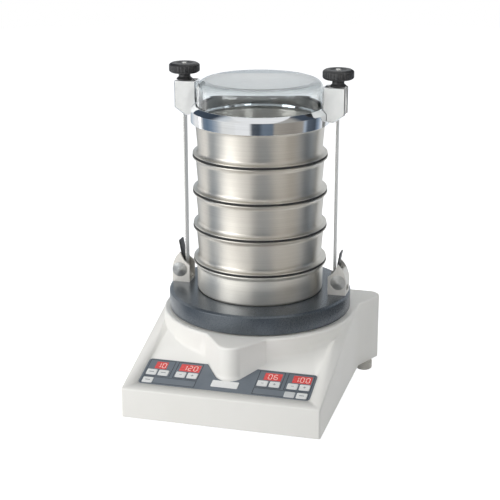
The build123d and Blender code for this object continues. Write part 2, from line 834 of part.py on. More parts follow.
# Strap brackets

def bracket_right():
    """Folded bracket: two cheeks, an outer wall that follows their arc, and a screwed floor."""
    z = plate_top_z + seat_gap
    top = z + bracket_arc_foot
    high = z + 2 * bracket_apex[1]
    apex = (pivot_reach + bracket_apex[0], z + bracket_apex[1])
    bulge = (pivot_reach + bracket_arc_bulge[0], z + bracket_arc_bulge[1])
    arc = ThreePointArc((bracket_outer, top), bulge, apex)
    rest = Polyline(apex, (pivot_reach + bracket_notch[0], z + bracket_notch[1]),
                    (bracket_inner, z + bracket_shoulder), (bracket_inner, z), (bracket_outer, z),
                    (bracket_outer, top))
    outline = make_face([arc] + list(rest.edges()))
    solid = extrude(Plane.XZ * outline, amount=bracket_half_depth, both=True)
    inner = bracket_half_depth - bracket_wall
    solid -= block(bracket_inner - 1, bracket_outer - bracket_wall - 6, -inner, inner, z + bracket_wall, high)
    solid -= block(bracket_inner - 1, bracket_outer - bracket_wall, -inner, inner,
                   z + bracket_wall, z + bracket_arc_foot + 4)
    solid -= block(bracket_inner - 1, bracket_outer + 1, -inner, inner, z + web_top, high)
    reach = bulge[0] - bracket_wall
    solid -= block(bracket_inner - 1, reach, -inner, inner, z + bracket_wall, z + bracket_arc_bulge[1] - 4)
    solid -= block(bracket_inner, bracket_outer + 1, -web_slot[0], web_slot[0],
                   z + bracket_wall + 2, z + web_slot[1])
    pin_hole = Rot(90, 0, 0) * Cylinder(pivot_pin_radius + running_gap, 4 * bracket_half_depth)
    solid -= Pos(pivot_reach, 0, pivot_z) * pin_hole
    sight = Rot(90, 0, 0) * Cylinder(sight_hole_radius, 4 * bracket_half_depth)
    solid -= Pos(pivot_reach + sight_hole[0], 0, z + sight_hole[1]) * sight
    for x, y in bracket_screw_places():
        solid -= rod(x, y, z - 1, z + bracket_wall + 1, bracket_screw_radius + 0.1)
    return on_axis(solid)


def bracket_pins():
    """Pivot pins of the two release levers, each with a wide washer and a round head."""
    length = 2 * bracket_half_depth
    pin = Cylinder(pivot_pin_radius, length + 2 * (pivot_disc_thickness + seat_gap))
    for side in (-1, 1):
        z = side * (bracket_half_depth + seat_gap + pivot_disc_thickness / 2)
        disc = Pos(0, 0, z) * Cylinder(pivot_disc_radius, pivot_disc_thickness)
        far = side * (bracket_half_depth + seat_gap + pivot_disc_thickness + pin_head_height / 2)
        pin += disc + Pos(0, 0, far) * Cylinder(pin_head_radius, pin_head_height)
    lying = Rot(90, 0, 0) * pin
    return Compound(children=[on_axis(Pos(side * pivot_reach, 0, pivot_z) * lying) for side in (-1, 1)])


def bracket_screws():
    """Two screws in the floor of each bracket."""
    z = bracket_floor_z + 2 * seat_gap
    length = bracket_wall + bracket_screw_length - 1
    screw = Cylinder(bracket_screw_radius, length, align=(Align.CENTER, Align.CENTER, Align.MAX))
    screw += Cylinder(bracket_screw_radius + 1.4, 1.4, align=MIN)
    return Compound(children=[on_axis(Pos(x, y, z) * screw) for x, y in bracket_screw_places()])


def lever_right():
    """Release lever: hub on the pin, bent blade that leans outwards, pawl nose towards the strap."""
    z = pivot_z
    base = plate_top_z
    half = lever_thickness / 2
    hub = Pos(pivot_reach, z) * Circle(lever_hub_radius)
    foot = (pivot_reach - 3.5, z + 2)
    bend = (pivot_reach + lever_bend[0], base + lever_bend[1])
    tip = (pivot_reach + lever_tip[0], base + lever_tip[1])
    blade = make_face(Polyline((foot[0] - half, foot[1]), (bend[0] - half, bend[1]), (tip[0] - half, tip[1]),
                               (tip[0] + half, tip[1]), (bend[0] + half, bend[1]), (foot[0] + half, foot[1]),
                               close=True))
    crest = strap_reach + strap_thickness / 2 + tooth_depth + pawl_gap
    nose = make_face(Polyline((pivot_reach - 2, z + 4.6), (crest, z + 3.2), (crest, z + 3.2 - 0.8),
                              (pivot_reach - 4, z - 2.5), close=True))
    outline = hub + blade + nose - Pos(pivot_reach, z) * Circle(pivot_pin_radius + running_gap)
    return on_axis(extrude(Plane.XZ * outline, amount=lever_width / 2, both=True))


# Sieves and pan

def collecting_pan():
    """Drawn pan under the last sieve."""
    rim = pan_rim_z
    foot = pan_bottom_z
    wall = sieve_wall
    r = body_radius
    foot_r = pan_foot_radius
    return turned((0, foot), (foot_r - pan_corner, foot), (foot_r, foot + pan_corner), (r, rim - rim_drop - rim_edge),
                  (rim_radius, rim - rim_edge), (rim_radius, rim), (rim_radius - 1.4, rim),
                  (r - wall, rim - rim_drop), (foot_r - wall, foot + pan_corner + 0.4),
                  (foot_r - pan_corner - 0.4, foot + wall), (0, foot + wall))


def sieve_frame(rim):
    """Spun sieve frame: rolled rim, tapered wall, flare above the seal, skirt into the next piece."""
    wall = sieve_wall
    r = body_radius
    flare = rim - sieve_pitch + seal_gap_z
    waist = rim - waist_drop
    skirt = rim - sieve_pitch - skirt_depth
    return turned((skirt_radius - wall, skirt), (skirt_radius, skirt), (skirt_radius, flare),
                  (flare_radius, flare), (flare_radius, flare + flare_edge),
                  (waist_radius + 2.6, flare + flare_edge + 1.0), (waist_radius, waist + 0.8),
                  (r, rim - rim_drop - rim_edge), (rim_radius, rim - rim_edge), (rim_radius, rim),
                  (rim_radius - 1.4, rim), (r - wall, rim - rim_drop), (waist_radius - wall, waist + 0.8),
                  (waist_radius - wall, flare + 0.5))


def sieve_mesh(rim):
    """Woven wire cloth stretched across the waist."""
    z = rim - waist_drop + 0.4
    return on_axis(Pos(0, 0, z) * Cylinder(waist_radius - sieve_wall - 2 * running_gap, mesh_thickness, align=MIN))


def seal_ring(rim):
    """Black sealing ring under the flare."""
    top = rim - sieve_pitch + seal_gap_z - seat_gap
    low = top - seal_section + seat_gap
    inner = skirt_radius + 1.6
    outer = inner + seal_section + 1.2
    cut = 0.9
    return turned((inner, low), (outer - cut, low), (outer, low + cut), (outer, top - cut), (outer - cut, top),
                  (inner, top))


# Clamp ring, lid, straps and knobs

def clamp_ring():
    """Polished clamp ring with a strap clevis on each side."""
    r = ring_radius
    bore = rim_radius + 0.5
    neck = lid_radius + 1.0
    low = ring_bottom_z
    top = low + ring_height
    crown = top + ring_bevel
    ring = turned((bore, low), (r, low), (r, top), (neck + ring_top_land, crown), (neck, crown),
                  (neck, ring_shoulder_z), (bore, ring_shoulder_z))
    half = cheek_gap / 2 + cheek_thickness
    high = clevis_top_z
    low_flat = high - clevis_flat
    chin = low_flat - clevis_chin
    mid = (clevis_inner + clevis_outer) / 2
    outline = [(clevis_inner, high), (clevis_outer, high), (clevis_outer, low_flat), (mid, chin),
               (r - 2, chin + 2), (r - 2, top), (clevis_inner, crown)]
    cheeks = side_profile(outline, half)
    edges = [e for e in cheeks.edges().filter_by(Axis.Y) if e.center().X > clevis_inner + 4]
    cheeks = fillet(edges, 2.5)
    slot = block(clevis_inner + 3.0, clevis_outer + 1, -cheek_gap / 2, cheek_gap / 2, chin - 1, high + 1)
    cheeks -= on_axis(slot)
    rims = [e for e in cheeks.edges()
            if abs(abs(e.center().Y - axis_y) - half) < 0.01 and e.center().X > r + 1]
    cheeks = fillet(rims, 1.2)
    ring = ring + cheeks + mirrored(cheeks)
    bore_cut = rod(0, axis_y, low - 1, ring_shoulder_z, bore) + rod(0, axis_y, low - 1, high + 1, neck)
    return ring - bore_cut


def clear_lid():
    """Clear domed lid: flange under the clamp ring, upright wall, wide rounded shoulder."""
    low = top_rim_z + slide_gap
    r = lid_radius
    wall = lid_wall
    top = top_rim_z + lid_height
    turn = lid_shoulder
    flange = rim_radius + 0.1
    outer = [Line((flange, low), (flange, low + lid_flange)), Line((flange, low + lid_flange), (r, low + lid_flange)),
             Line((r, low + lid_flange), (r, top - turn)),
             ThreePointArc((r, top - turn), (r - turn + turn * cos(pi / 4), top - turn + turn * sin(pi / 4)),
                           (r - turn, top)),
             Line((r - turn, top), (0, top)), Line((0, top), (0, top - wall)),
             Line((0, top - wall), (r - turn, top - wall))]
    inner = turn - wall
    outer += [ThreePointArc((r - turn, top - wall), (r - turn + inner * cos(pi / 4),
                                                    top - turn + inner * sin(pi / 4)), (r - wall, top - turn)),
              Line((r - wall, top - turn), (r - wall, low)), Line((r - wall, low), (flange, low))]
    section = Plane.XZ * make_face(outer)
    return on_axis(revolve(section, Axis.Z))


def strap_right():
    """Toothed tension strap with a clamped block and the threaded spindle that the knob turns on."""
    x = strap_reach
    inner = x - strap_thickness / 2
    outer = x + strap_thickness / 2
    low = bracket_floor_z + strap_bottom_gap
    high = clevis_top_z - clevis_flat + 8
    points = [(inner, low), (outer, low)]
    count = int((high - low - 12) / tooth_pitch)
    for n in range(count):
        z = low + 4 + n * tooth_pitch
        points += [(outer, z), (outer + tooth_depth, z + tooth_pitch * 0.55)]
        points += [(outer, z + tooth_pitch * 0.9)]
    points += [(outer, high), (inner, high)]
    outline = make_face(Polyline(*points, close=True))
    strap = extrude(Plane.XZ * outline, amount=strap_width / 2, both=True)
    block_w, block_t, block_h = spindle_block
    strap += Pos(x, 0, high - 6) * Box(block_t, block_w, block_h, align=MIN)
    strap += Pos(x, 0, high) * Cylinder(spindle_radius, knob_top_z - high + 0.6, align=MIN)
    return on_axis(strap)


def knob(side):
    """Clamping knob: dished and gripped head, neck, and a collar that bears on the cheeks."""
    z = knob_bottom_z
    r = knob_radius
    rim = knob_rim_z
    top = knob_top_z
    bore = spindle_radius + running_gap
    section = make_face(Polyline((bore, z), (knob_collar_radius, z), (knob_collar_radius, z + knob_collar_height * 0.4),
                                 (knob_neck_radius, z + knob_collar_height), (knob_neck_radius, rim - 2),
                                 (knob_neck_radius + 4, rim), (r - knob_chamfer, rim), (r, rim + knob_chamfer * 0.7),
                                 (r, top - knob_chamfer * 0.7), (r - knob_chamfer, top),
                                 (knob_neck_radius + 4, top), (knob_neck_radius + 1, top - knob_dish),
                                 (bore, top - knob_dish), close=True))
    body = revolve(Plane.XZ * section, Axis.Z)
    groove = Pos(r + 1.6, 0, rim - 1) * Cylinder(2.3, knob_height + 2, align=MIN)
    cutters = [Rot(0, 0, 360 / grip_count * n) * groove for n in range(grip_count)]
    body -= cutters
    return on_axis(Pos(side * strap_reach, 0, 0) * body)


def parts():
    """Every piece by name."""
    made = {
        "housing_shell": housing_shell(),
        "base_plate": base_plate(),
        "rubber_feet": rubber_feet(),
        "base_screws": base_screws(),
        "panel_membrane": panel_membrane(),
        "led_displays": led_displays(),
        "badge_plate": badge_plate(),
        "control_board": control_board(),
        "key_switches": key_switches(),
        "mains_inlet": mains_inlet(),
        "inlet_pins": inlet_pins(),
        "fuse_drawer": fuse_drawer(),
        "rocker_frame": rocker_frame(),
        "rocker_key": rocker_key(),
        "transformer_core": transformer_core(),
        "transformer_coil": transformer_coil(),
        "driver_board": driver_board(),
        "drive_frame": drive_frame(),
        "magnet_core": magnet_core(),
        "magnet_coil": magnet_coil(),
        "drive_springs": drive_springs(),
        "armature": armature(),
        "drive_column": drive_column(),
        "sieve_plate": sieve_plate(),
        "bracket_right": bracket_right(),
        "bracket_pins": bracket_pins(),
        "bracket_screws": bracket_screws(),
        "lever_right": lever_right(),
        "collecting_pan": collecting_pan(),
        "clamp_ring": clamp_ring(),
        "clear_lid": clear_lid(),
        "strap_right": strap_right(),
        "knob_right": knob(1),
        "knob_left": knob(-1),
    }
    for name in ("bracket", "lever", "strap"):
        made[name + "_left"] = mirrored(made[name + "_right"])
    left, right = key_places()
    for side, places in (("left", left), ("right", right)):
        for number, place in enumerate(places, 1):
            made["key_%s_%d" % (side, number)] = key_cap(place)
    for number, rim in enumerate(reversed(stack_rims), 1):
        made["sieve_frame_%d" % number] = sieve_frame(rim)
        made["sieve_mesh_%d" % number] = sieve_mesh(rim)
        made["seal_ring_%d" % number] = seal_ring(rim)
    return made


os.makedirs("parts", exist_ok=True)
for name, shape in parts().items():
    export_step(shape, "parts/" + name + ".step")
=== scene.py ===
import json
from math import atan2, cos, pi, radians, sin, tan

import bmesh
import bpy
from mathutils import Matrix, Vector


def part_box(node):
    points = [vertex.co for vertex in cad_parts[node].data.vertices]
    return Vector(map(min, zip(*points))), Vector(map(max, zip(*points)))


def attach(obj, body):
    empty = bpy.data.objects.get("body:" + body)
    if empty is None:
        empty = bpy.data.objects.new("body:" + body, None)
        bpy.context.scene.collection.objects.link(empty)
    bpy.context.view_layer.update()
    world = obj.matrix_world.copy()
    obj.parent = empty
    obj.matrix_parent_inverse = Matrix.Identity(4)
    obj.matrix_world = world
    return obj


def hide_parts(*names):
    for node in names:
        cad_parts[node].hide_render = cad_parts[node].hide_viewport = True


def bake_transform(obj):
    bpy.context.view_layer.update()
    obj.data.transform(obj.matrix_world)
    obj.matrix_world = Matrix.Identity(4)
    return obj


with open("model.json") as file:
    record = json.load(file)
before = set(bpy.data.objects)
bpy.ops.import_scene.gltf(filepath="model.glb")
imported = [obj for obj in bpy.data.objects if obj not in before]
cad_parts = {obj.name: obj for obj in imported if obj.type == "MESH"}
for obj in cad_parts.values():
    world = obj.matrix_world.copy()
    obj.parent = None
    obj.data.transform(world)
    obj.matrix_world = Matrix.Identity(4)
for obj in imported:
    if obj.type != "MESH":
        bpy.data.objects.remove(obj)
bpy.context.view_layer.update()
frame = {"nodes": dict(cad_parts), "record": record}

MM = 0.001
METRE = 1000.0
LOW, HIGH = 0, 1
X, Y, Z = 0, 1, 2
BODY_OF = {node: body for body, nodes in frame["record"]["behaviour"]["bodies"].items() for node in nodes}


def edge(node, corner, axis):
    """Where a CAD node's box begins or ends along an axis, in millimetres."""
    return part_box(node)[corner][axis] / MM


# Places read from the frame, in millimetres
AXIS_Y = (edge("sieve_plate", LOW, Y) + edge("sieve_plate", HIGH, Y)) / 2
PLATE_RADIUS = (edge("sieve_plate", HIGH, X) - edge("sieve_plate", LOW, X)) / 2
PLATE_BOTTOM = edge("sieve_plate", LOW, Z)
PLATE_TOP = edge("sieve_plate", HIGH, Z)
PAN_BOTTOM = edge("collecting_pan", LOW, Z)
PAN_RIM = edge("collecting_pan", HIGH, Z)
RIMS = {n: edge("sieve_frame_%d" % n, HIGH, Z) for n in (1, 2, 3, 4)}
RING_BOTTOM = edge("clamp_ring", LOW, Z)
CLEVIS_TOP = edge("clamp_ring", HIGH, Z)
LID_BOTTOM = edge("clear_lid", LOW, Z)
LID_TOP = edge("clear_lid", HIGH, Z)
KNOB_BOTTOM = edge("knob_right", LOW, Z)
KNOB_TOP = edge("knob_right", HIGH, Z)
FRONT_Y = edge("housing_shell", LOW, Y)

# The sloping deck: its angle, the height of its front edge, and the panel's face above it
DECK_SLOPE = radians(13.9)
DECK_EDGE_Z = 58.0
PANEL_FACE = 0.42

SIEVE_PITCH = 55.0


# Shader nodes

def colour(code):
    """Linear colour of a six-digit sRGB code."""
    def channel(value):
        value /= 255
        return value / 12.92 if value <= 0.04045 else ((value + 0.055) / 1.055) ** 2.4
    return tuple(channel(int(code[n:n + 2], 16)) for n in (0, 2, 4)) + (1.0,)


def feed(tree, node, inputs):
    """Give inputs of a node their value, a socket's, or that of another node's first output."""
    for name, value in inputs.items():
        if isinstance(value, bpy.types.Node):
            value = value.outputs[0]
        if isinstance(value, bpy.types.NodeSocket):
            tree.links.new(value, node.inputs[name])
        else:
            node.inputs[name].default_value = value


def add(tree, kind, inputs=None, stops=(), **settings):
    """Add a node with its settings, and feed it; stops of a ramp are (position, sRGB code or grey)."""
    new = tree.nodes.new(kind)
    for name, value in settings.items():
        setattr(new, name, value)
    feed(tree, new, inputs or {})
    if stops:
        elements = new.color_ramp.elements
        while len(elements) < len(stops):
            elements.new(0.5)
        for element, (position, tone) in zip(elements, stops):
            element.position = position
            element.color = colour(tone) if isinstance(tone, str) else (tone, tone, tone, 1.0)
    return new


def begin(name, **inputs):
    """A material with a plain surface shader; returns material, tree, shader and object coordinates."""
    material = bpy.data.materials.new(name)
    material.use_nodes = True
    tree = material.node_tree
    tree.nodes.clear()
    values = {key.replace("_", " "): value for key, value in inputs.items()}
    shader = add(tree, "ShaderNodeBsdfPrincipled", values)
    add(tree, "ShaderNodeOutputMaterial", {"Surface": shader})
    coordinates = add(tree, "ShaderNodeTexCoord").outputs["Object"]
    return material, tree, shader, coordinates


def surface(tree, shader, tone_factor, tones, rough_factor, rough):
    """Colour and roughness along two patterns; tones and rough are the stops of their ramps."""
    feed(tree, shader, {"Base Color": add(tree, "ShaderNodeValToRGB", {"Fac": tone_factor}, tones),
                        "Roughness": add(tree, "ShaderNodeValToRGB", {"Fac": rough_factor}, rough)})


def relief(tree, shader, height, depth_mm, edge_mm=0.0):
    """Bump from a height, over softened edges."""
    inputs = {"Height": height, "Distance": depth_mm * MM, "Strength": 1.0}
    if edge_mm:
        inputs["Normal"] = add(tree, "ShaderNodeBevel", {"Radius": edge_mm * MM}, samples=4)
    feed(tree, shader, {"Normal": add(tree, "ShaderNodeBump", inputs)})


def streaks(tree, vector, per_metre):
    """Fine lines in a surface, so many to the metre along each axis."""
    drawn_out = add(tree, "ShaderNodeVectorMath", {0: vector, 1: per_metre}, operation="MULTIPLY")
    return add(tree, "ShaderNodeTexNoise", {"Vector": drawn_out, "Scale": 1.0, "Detail": 3.0,
                                            "Roughness": 0.6})


def moulded(name, low, high, rough=(0.42, 0.5), grain_mm=0.9, depth_mm=0.012, edge_mm=0.5, patch_mm=60.0,
            metallic=0.0):
    """Moulded, blasted or printed face: fine grain, faint cloudiness and softened edges."""
    material, tree, shader, vector = begin(name, Metallic=metallic)
    cloud = add(tree, "ShaderNodeTexNoise", {"Vector": vector, "Scale": METRE / patch_mm, "Detail": 3.0})
    grain = add(tree, "ShaderNodeTexNoise", {"Vector": vector, "Scale": METRE / grain_mm, "Detail": 2.0})
    surface(tree, shader, cloud, ((0.3, low), (0.7, high)), grain, ((0.35, rough[0]), (0.65, rough[1])))
    relief(tree, shader, grain, depth_mm, edge_mm)
    return material


def brushed(name, low, high, rough, per_metre, depth_mm=0.004, edge_mm=0.35, metallic=1.0):
    """Metal with fine lines, so many to the metre along each axis."""
    material, tree, shader, vector = begin(name, Metallic=metallic)
    lines = streaks(tree, vector, per_metre)
    surface(tree, shader, lines, ((0.3, low), (0.7, high)), lines, ((0.3, rough[0]), (0.7, rough[1])))
    relief(tree, shader, lines, depth_mm, edge_mm)
    return material


def spun(name, low, high, rough, spread):
    """Sheet metal spun and polished round its axis: fine rings draw each light into an upright streak."""
    material, tree, shader, vector = begin(name, Metallic=1.0, Anisotropic=spread, Anisotropic_Rotation=0.25)
    lines = streaks(tree, vector, (9.0, 9.0, 2200.0))
    flattened = add(tree, "ShaderNodeVectorMath", {0: vector, 1: (1.0, 1.0, 0.4)}, operation="MULTIPLY")
    smears = add(tree, "ShaderNodeTexNoise", {"Vector": flattened, "Scale": METRE / 26.0, "Detail": 3.0})
    both = add(tree, "ShaderNodeMath", {0: lines, 1: smears}, operation="ADD")
    mean = add(tree, "ShaderNodeMath", {0: both, 1: 0.5}, operation="MULTIPLY")
    surface(tree, shader, lines, ((0.3, low), (0.7, high)), mean, ((0.35, rough[0]), (0.65, rough[1])))
    normal = add(tree, "ShaderNodeNewGeometry").outputs["Normal"]
    round_axis = add(tree, "ShaderNodeVectorMath", {0: (0.0, 0.0, 1.0), 1: normal}, operation="CROSS_PRODUCT")
    feed(tree, shader, {"Tangent": round_axis})
    relief(tree, shader, lines, 0.002, 0.3)
    return material


TOOTH_MM = 2.5
TOOTH_SLANT = (0.0, 0.55, 1.0)


def serrated(name, low, high, painted_root_shade):
    """Strap milled with fine slanting teeth: painted highlight on the crests, painted shade in the roots."""
    material, tree, shader, vector = begin(name, Metallic=0.85)
    slant = add(tree, "ShaderNodeVectorMath", {0: vector, 1: TOOTH_SLANT}, operation="DOT_PRODUCT")
    turns = add(tree, "ShaderNodeMath", {0: slant.outputs["Value"], 1: 2 * pi / (TOOTH_MM * MM)},
                operation="MULTIPLY")
    teeth = add(tree, "ShaderNodeMath", {0: turns}, operation="SINE")
    height = add(tree, "ShaderNodeMath", {0: teeth, 1: 0.5, 2: 0.5}, operation="MULTIPLY_ADD")
    grain = add(tree, "ShaderNodeTexNoise", {"Vector": vector, "Scale": METRE / 0.5, "Detail": 2.0})
    # Tone by tooth height: painted shade at the roots, painted highlight towards the crests
    surface(tree, shader, height, ((0.1, painted_root_shade), (0.45, low), (0.9, high)), grain, ((0.3, 0.32), (0.7, 0.44)))
    relief(tree, shader, height, 0.25, 0.2)
    return material


# Painted sheen on the lid: over this depth below its top it turns grey and less clear
PAINTED_SHEEN_DEPTH = 15.0
PAINTED_SHEEN_CLARITY = 0.80


def clear_plastic(name):
    """Clear moulded lid: nearly colourless walls with faint wipe marks, and a painted sheen that turns the
    top grey and less clear.
    """
    material, tree, shader, vector = begin(name, IOR=1.49)
    drawn_out = add(tree, "ShaderNodeVectorMath", {0: vector, 1: (1.0, 1.0, 3.0)}, operation="MULTIPLY")
    wipes = add(tree, "ShaderNodeTexNoise", {"Vector": drawn_out, "Scale": METRE / 18.0, "Detail": 4.0})
    height = add(tree, "ShaderNodeSeparateXYZ", {0: vector}).outputs["Z"]
    # Painted sheen: grey and less clear towards the top
    rise = add(tree, "ShaderNodeMapRange", {"Value": height, "From Min": (LID_TOP - PAINTED_SHEEN_DEPTH) * MM,
                                            "From Max": (LID_TOP - 0.5) * MM, "To Min": 1.0,
                                            "To Max": PAINTED_SHEEN_CLARITY})
    surface(tree, shader, rise, ((PAINTED_SHEEN_CLARITY, "BCC2C4"), (1.0, "F2F5F6")),
            wipes, ((0.35, 0.012), (0.75, 0.045)))
    feed(tree, shader, {"Transmission Weight": rise})
    return material


def lit_display(name):
    """Red filter window with the glow of the digits behind it."""
    material, tree, shader, vector = begin(name, Roughness=0.25, Emission_Strength=0.12)
    glow = add(tree, "ShaderNodeTexNoise", {"Vector": vector, "Scale": METRE / 3.0, "Detail": 2.0})
    red = add(tree, "ShaderNodeValToRGB", {"Fac": glow}, ((0.3, "D24746"), (0.7, "E25A58")))
    feed(tree, shader, {"Base Color": red, "Emission Color": red})
    relief(tree, shader, glow, 0.01, 0.3)
    return material


# Finishes. Grains and lines finer than a third of a millimetre wouldn't show and are drawn about that coarse.
MATERIALS = {
    # ABS moulded in a spark-eroded tool: warm off-white, its grain breaks the gloss into a soft sheen
    "housing": moulded("grained_abs", "E9E7E1", "EDEBE6", (0.46, 0.54), 0.9, 0.010, 0.6, 90.0),
    # Polyester overlay printed from behind: even slate grey with a velvet face
    "panel": moulded("printed_polyester", "69717A", "727A82", (0.42, 0.5), 0.35, 0.006, 0.2, 25.0),
    # The overlay's fields: the same face, a shade lighter
    "field": moulded("printed_field", "6F777F", "787F86", (0.42, 0.5), 0.35, 0.006, 0.1, 25.0),
    # The overlay's outlines: crisp dark lines, as matt as the rest
    "outline": moulded("printed_outline", "31373E", "383F46", (0.42, 0.5), 0.35, 0.006, 0.1, 25.0),
    # Key caps moulded in pale satin plastic: a soft light on each, fading at the rounded edge
    "key": moulded("satin_key_plastic", "E6E6E4", "EDEDEB", (0.38, 0.46), 0.4, 0.006, 0.35, 10.0),
    # One cap in a greyer plastic of the same satin
    "key_dim": moulded("satin_key_plastic_grey", "CFD0D0", "D6D7D7", (0.38, 0.46), 0.4, 0.006, 0.35, 10.0),
    # Pad-printed marks: small, flat and grey
    "legend": moulded("pad_print", "8A8D90", "94979A", (0.4, 0.5), 0.3, 0.004, 0.0, 10.0),
    # Lacquered plate: bare white with a soft gloss
    "badge": moulded("lacquered_plate", "EDEDEB", "F3F3F1", (0.22, 0.3), 0.5, 0.004, 0.25, 12.0),
    # Acrylic filter lit from behind: glossy red that glows a little unevenly
    "display": lit_display("red_acrylic_filter"),
    # Lit segments seen through the filter: pale and flat
    "digit": moulded("lit_segments", "FFD9CF", "FFE4DC", (0.4, 0.5), 0.5, 0.002, 0.0, 4.0),
    # Aluminium, fine-blasted and anodised: deep slate with a dull metallic sheen
    "plate": moulded("anodised_aluminium", "52585E", "5E646A", (0.24, 0.33), 0.7, 0.012, 0.5, 35.0, 0.6),
    # Stainless steel spun over a former: light and dark run upright across faint rings
    "sieve": spun("spun_steel", "C2BEB6", "D2CEC6", (0.36, 0.46), 0.62),
    # Stainless steel deep-drawn and brushed, a little duller than the sieves, and lighter as painted light,
    # which makes up for the dark surroundings it reflects
    "pan": spun("drawn_steel", "DAD7CF", "E8E5DE", (0.40, 0.50), 0.5),
    # Woven stainless wire: dull grey with small bright spots
    "wire": brushed("woven_steel_wire", "76746F", "96938D", (0.3, 0.4), (900.0, 900.0, 900.0), 0.01, 0.0),
    # Moulded nitrile rubber: nearly black, dusty, without shine
    "seal": moulded("moulded_nitrile", "141414", "1F1F1F", (0.62, 0.75), 0.6, 0.015, 0.4, 20.0),
    # Moulded grey rubber in the housing's tone: matt and a little dusty
    "foot": moulded("moulded_grey_rubber", "B9B5AD", "C6C2BA", (0.6, 0.72), 0.7, 0.02, 0.8, 12.0),
    # Steel blackened in an oil bath: deep charcoal with a dull gloss
    "blackened": moulded("blackened_steel", "1E1F20", "2A2B2D", (0.34, 0.46), 0.8, 0.01, 0.4, 9.0, 0.3),
    # Zinc-plated washers and pin heads: matt pale grey, faintly mottled
    "washer": brushed("zinc_plated_steel", "A9AAA9", "BDBEBC", (0.42, 0.54), (700.0, 700.0, 700.0), 0.004,
                      0.3, 0.6),
    # Steel turned and mirror polished: hard bands of its surroundings, with the faintest turning lines
    "chrome": brushed("mirror_polished_steel", "DADCDE", "E4E6E8", (0.05, 0.09), (8.0, 8.0, 900.0), 0.0004,
                      0.25),
    # Light alloy blasted and lacquered silver: matt, even and bright
    "blasted": moulded("blasted_alloy", "C6C7C5", "D1D1CF", (0.32, 0.40), 0.35, 0.010, 0.3, 20.0, 0.15),
    # Clear acrylic moulding: bright edges, walls that bend what is behind them, and a painted sheen that
    # turns the top milky grey
    "lid": clear_plastic("clear_acrylic"),
    # Phenolic knobs from a coarse tool: black, with a broken gloss
    "knob": moulded("textured_phenolic", "1B1B1C", "252526", (0.36, 0.5), 0.6, 0.03, 0.5, 8.0),
    # Steel straps milled with teeth: a fine ladder of painted highlight on the crests and painted shade in
    # the roots
    "strap": serrated("milled_strap_steel", "C9C9C6", "E2E1DD", "9D9D9A"),
    # Folded stainless sheet brushed upright: pale, with a soft upright grain
    "bracket": brushed("brushed_steel_sheet", "CBC8C2", "DBD8D2", (0.36, 0.46), (1500.0, 1500.0, 40.0),
                       0.003, 0.4, 0.6),
    # Turned steel column: smooth and bright
    "turned": brushed("turned_steel", "B9B8B5", "CBCAC7", (0.16, 0.26), (900.0, 900.0, 900.0), 0.002, 0.3),
    # Mains mouldings of glossy polyamide: black with a clear highlight
    "black_gloss": moulded("glossy_polyamide", "141414", "1A1A1A", (0.22, 0.32), 0.8, 0.006, 0.4, 15.0),
    # Rolled brass contacts: yellow and bright along their length
    "brass": brushed("rolled_brass", "C9AE74", "D8C08A", (0.2, 0.3), (900.0, 900.0, 60.0), 0.002, 0.15),
    # Zinc-plated sheet and screws: cool grey with rolling lines across
    "zinc": brushed("zinc_plated_sheet", "9FA3A6", "B4B7B9", (0.3, 0.45), (60.0, 900.0, 60.0), 0.003, 0.2),
    # Circuit board under green lacquer: even, with a slight gloss
    "board": moulded("lacquered_circuit_board", "1D5A33", "246A3D", (0.35, 0.45), 0.5, 0.004, 0.1, 8.0),
    # Enamelled copper winding: red-brown turns one above the other
    "winding": brushed("enamelled_copper", "8A4B22", "A8623A", (0.3, 0.42), (40.0, 40.0, 2400.0), 0.03, 0.3),
    # Stacked core sheets: dark edges side by side
    "laminate": brushed("stacked_core_sheets", "4C4D50", "626468", (0.35, 0.5), (40.0, 2000.0, 40.0), 0.01,
                        0.2),
    # Sand-cast iron under black paint: rough and dull
    "casting": moulded("painted_casting", "2B2C2E", "353638", (0.5, 0.62), 1.4, 0.06, 0.5, 20.0),
    # Wound spring steel: dark grey with a thin shine along each coil
    "spring": brushed("wound_spring_steel", "55565A", "6E6F73", (0.28, 0.4), (900.0, 900.0, 900.0), 0.004,
                      0.3),
}

FINISHES = {
    "housing": ("housing_shell",),
    "zinc": ("base_plate", "base_screws", "bracket_screws"),
    "foot": ("rubber_feet",),
    "panel": ("panel_membrane",),
    "display": ("led_displays",),
    "badge": ("badge_plate",),
    "board": ("control_board", "driver_board"),
    "black_gloss": ("key_switches", "mains_inlet", "fuse_drawer", "rocker_frame", "rocker_key"),
    "brass": ("inlet_pins",),
    "laminate": ("transformer_core", "magnet_core", "armature"),
    "winding": ("transformer_coil", "magnet_coil"),
    "casting": ("drive_frame",),
    "spring": ("drive_springs",),
    "turned": ("drive_column",),
    "washer": ("bracket_pins",),
    "bracket": ("bracket_right", "bracket_left"),
    "blackened": ("lever_right", "lever_left"),
    "strap": ("strap_right", "strap_left"),
    "plate": ("sieve_plate",),
    "sieve": ("collecting_pan",) + tuple("sieve_frame_%d" % n for n in (1, 2, 3, 4)),
    "wire": tuple("sieve_mesh_%d" % n for n in (1, 2, 3, 4)),
    "seal": tuple("seal_ring_%d" % n for n in (1, 2, 3, 4)),
    "chrome": ("clamp_ring",),
    "lid": ("clear_lid",),
    "knob": ("knob_right", "knob_left"),
    "key": tuple("key_left_%d" % n for n in range(1, 6)) + tuple("key_right_%d" % n for n in range(1, 7)),
}
DIM_KEYS = ("key_right_5",)


# Meshes

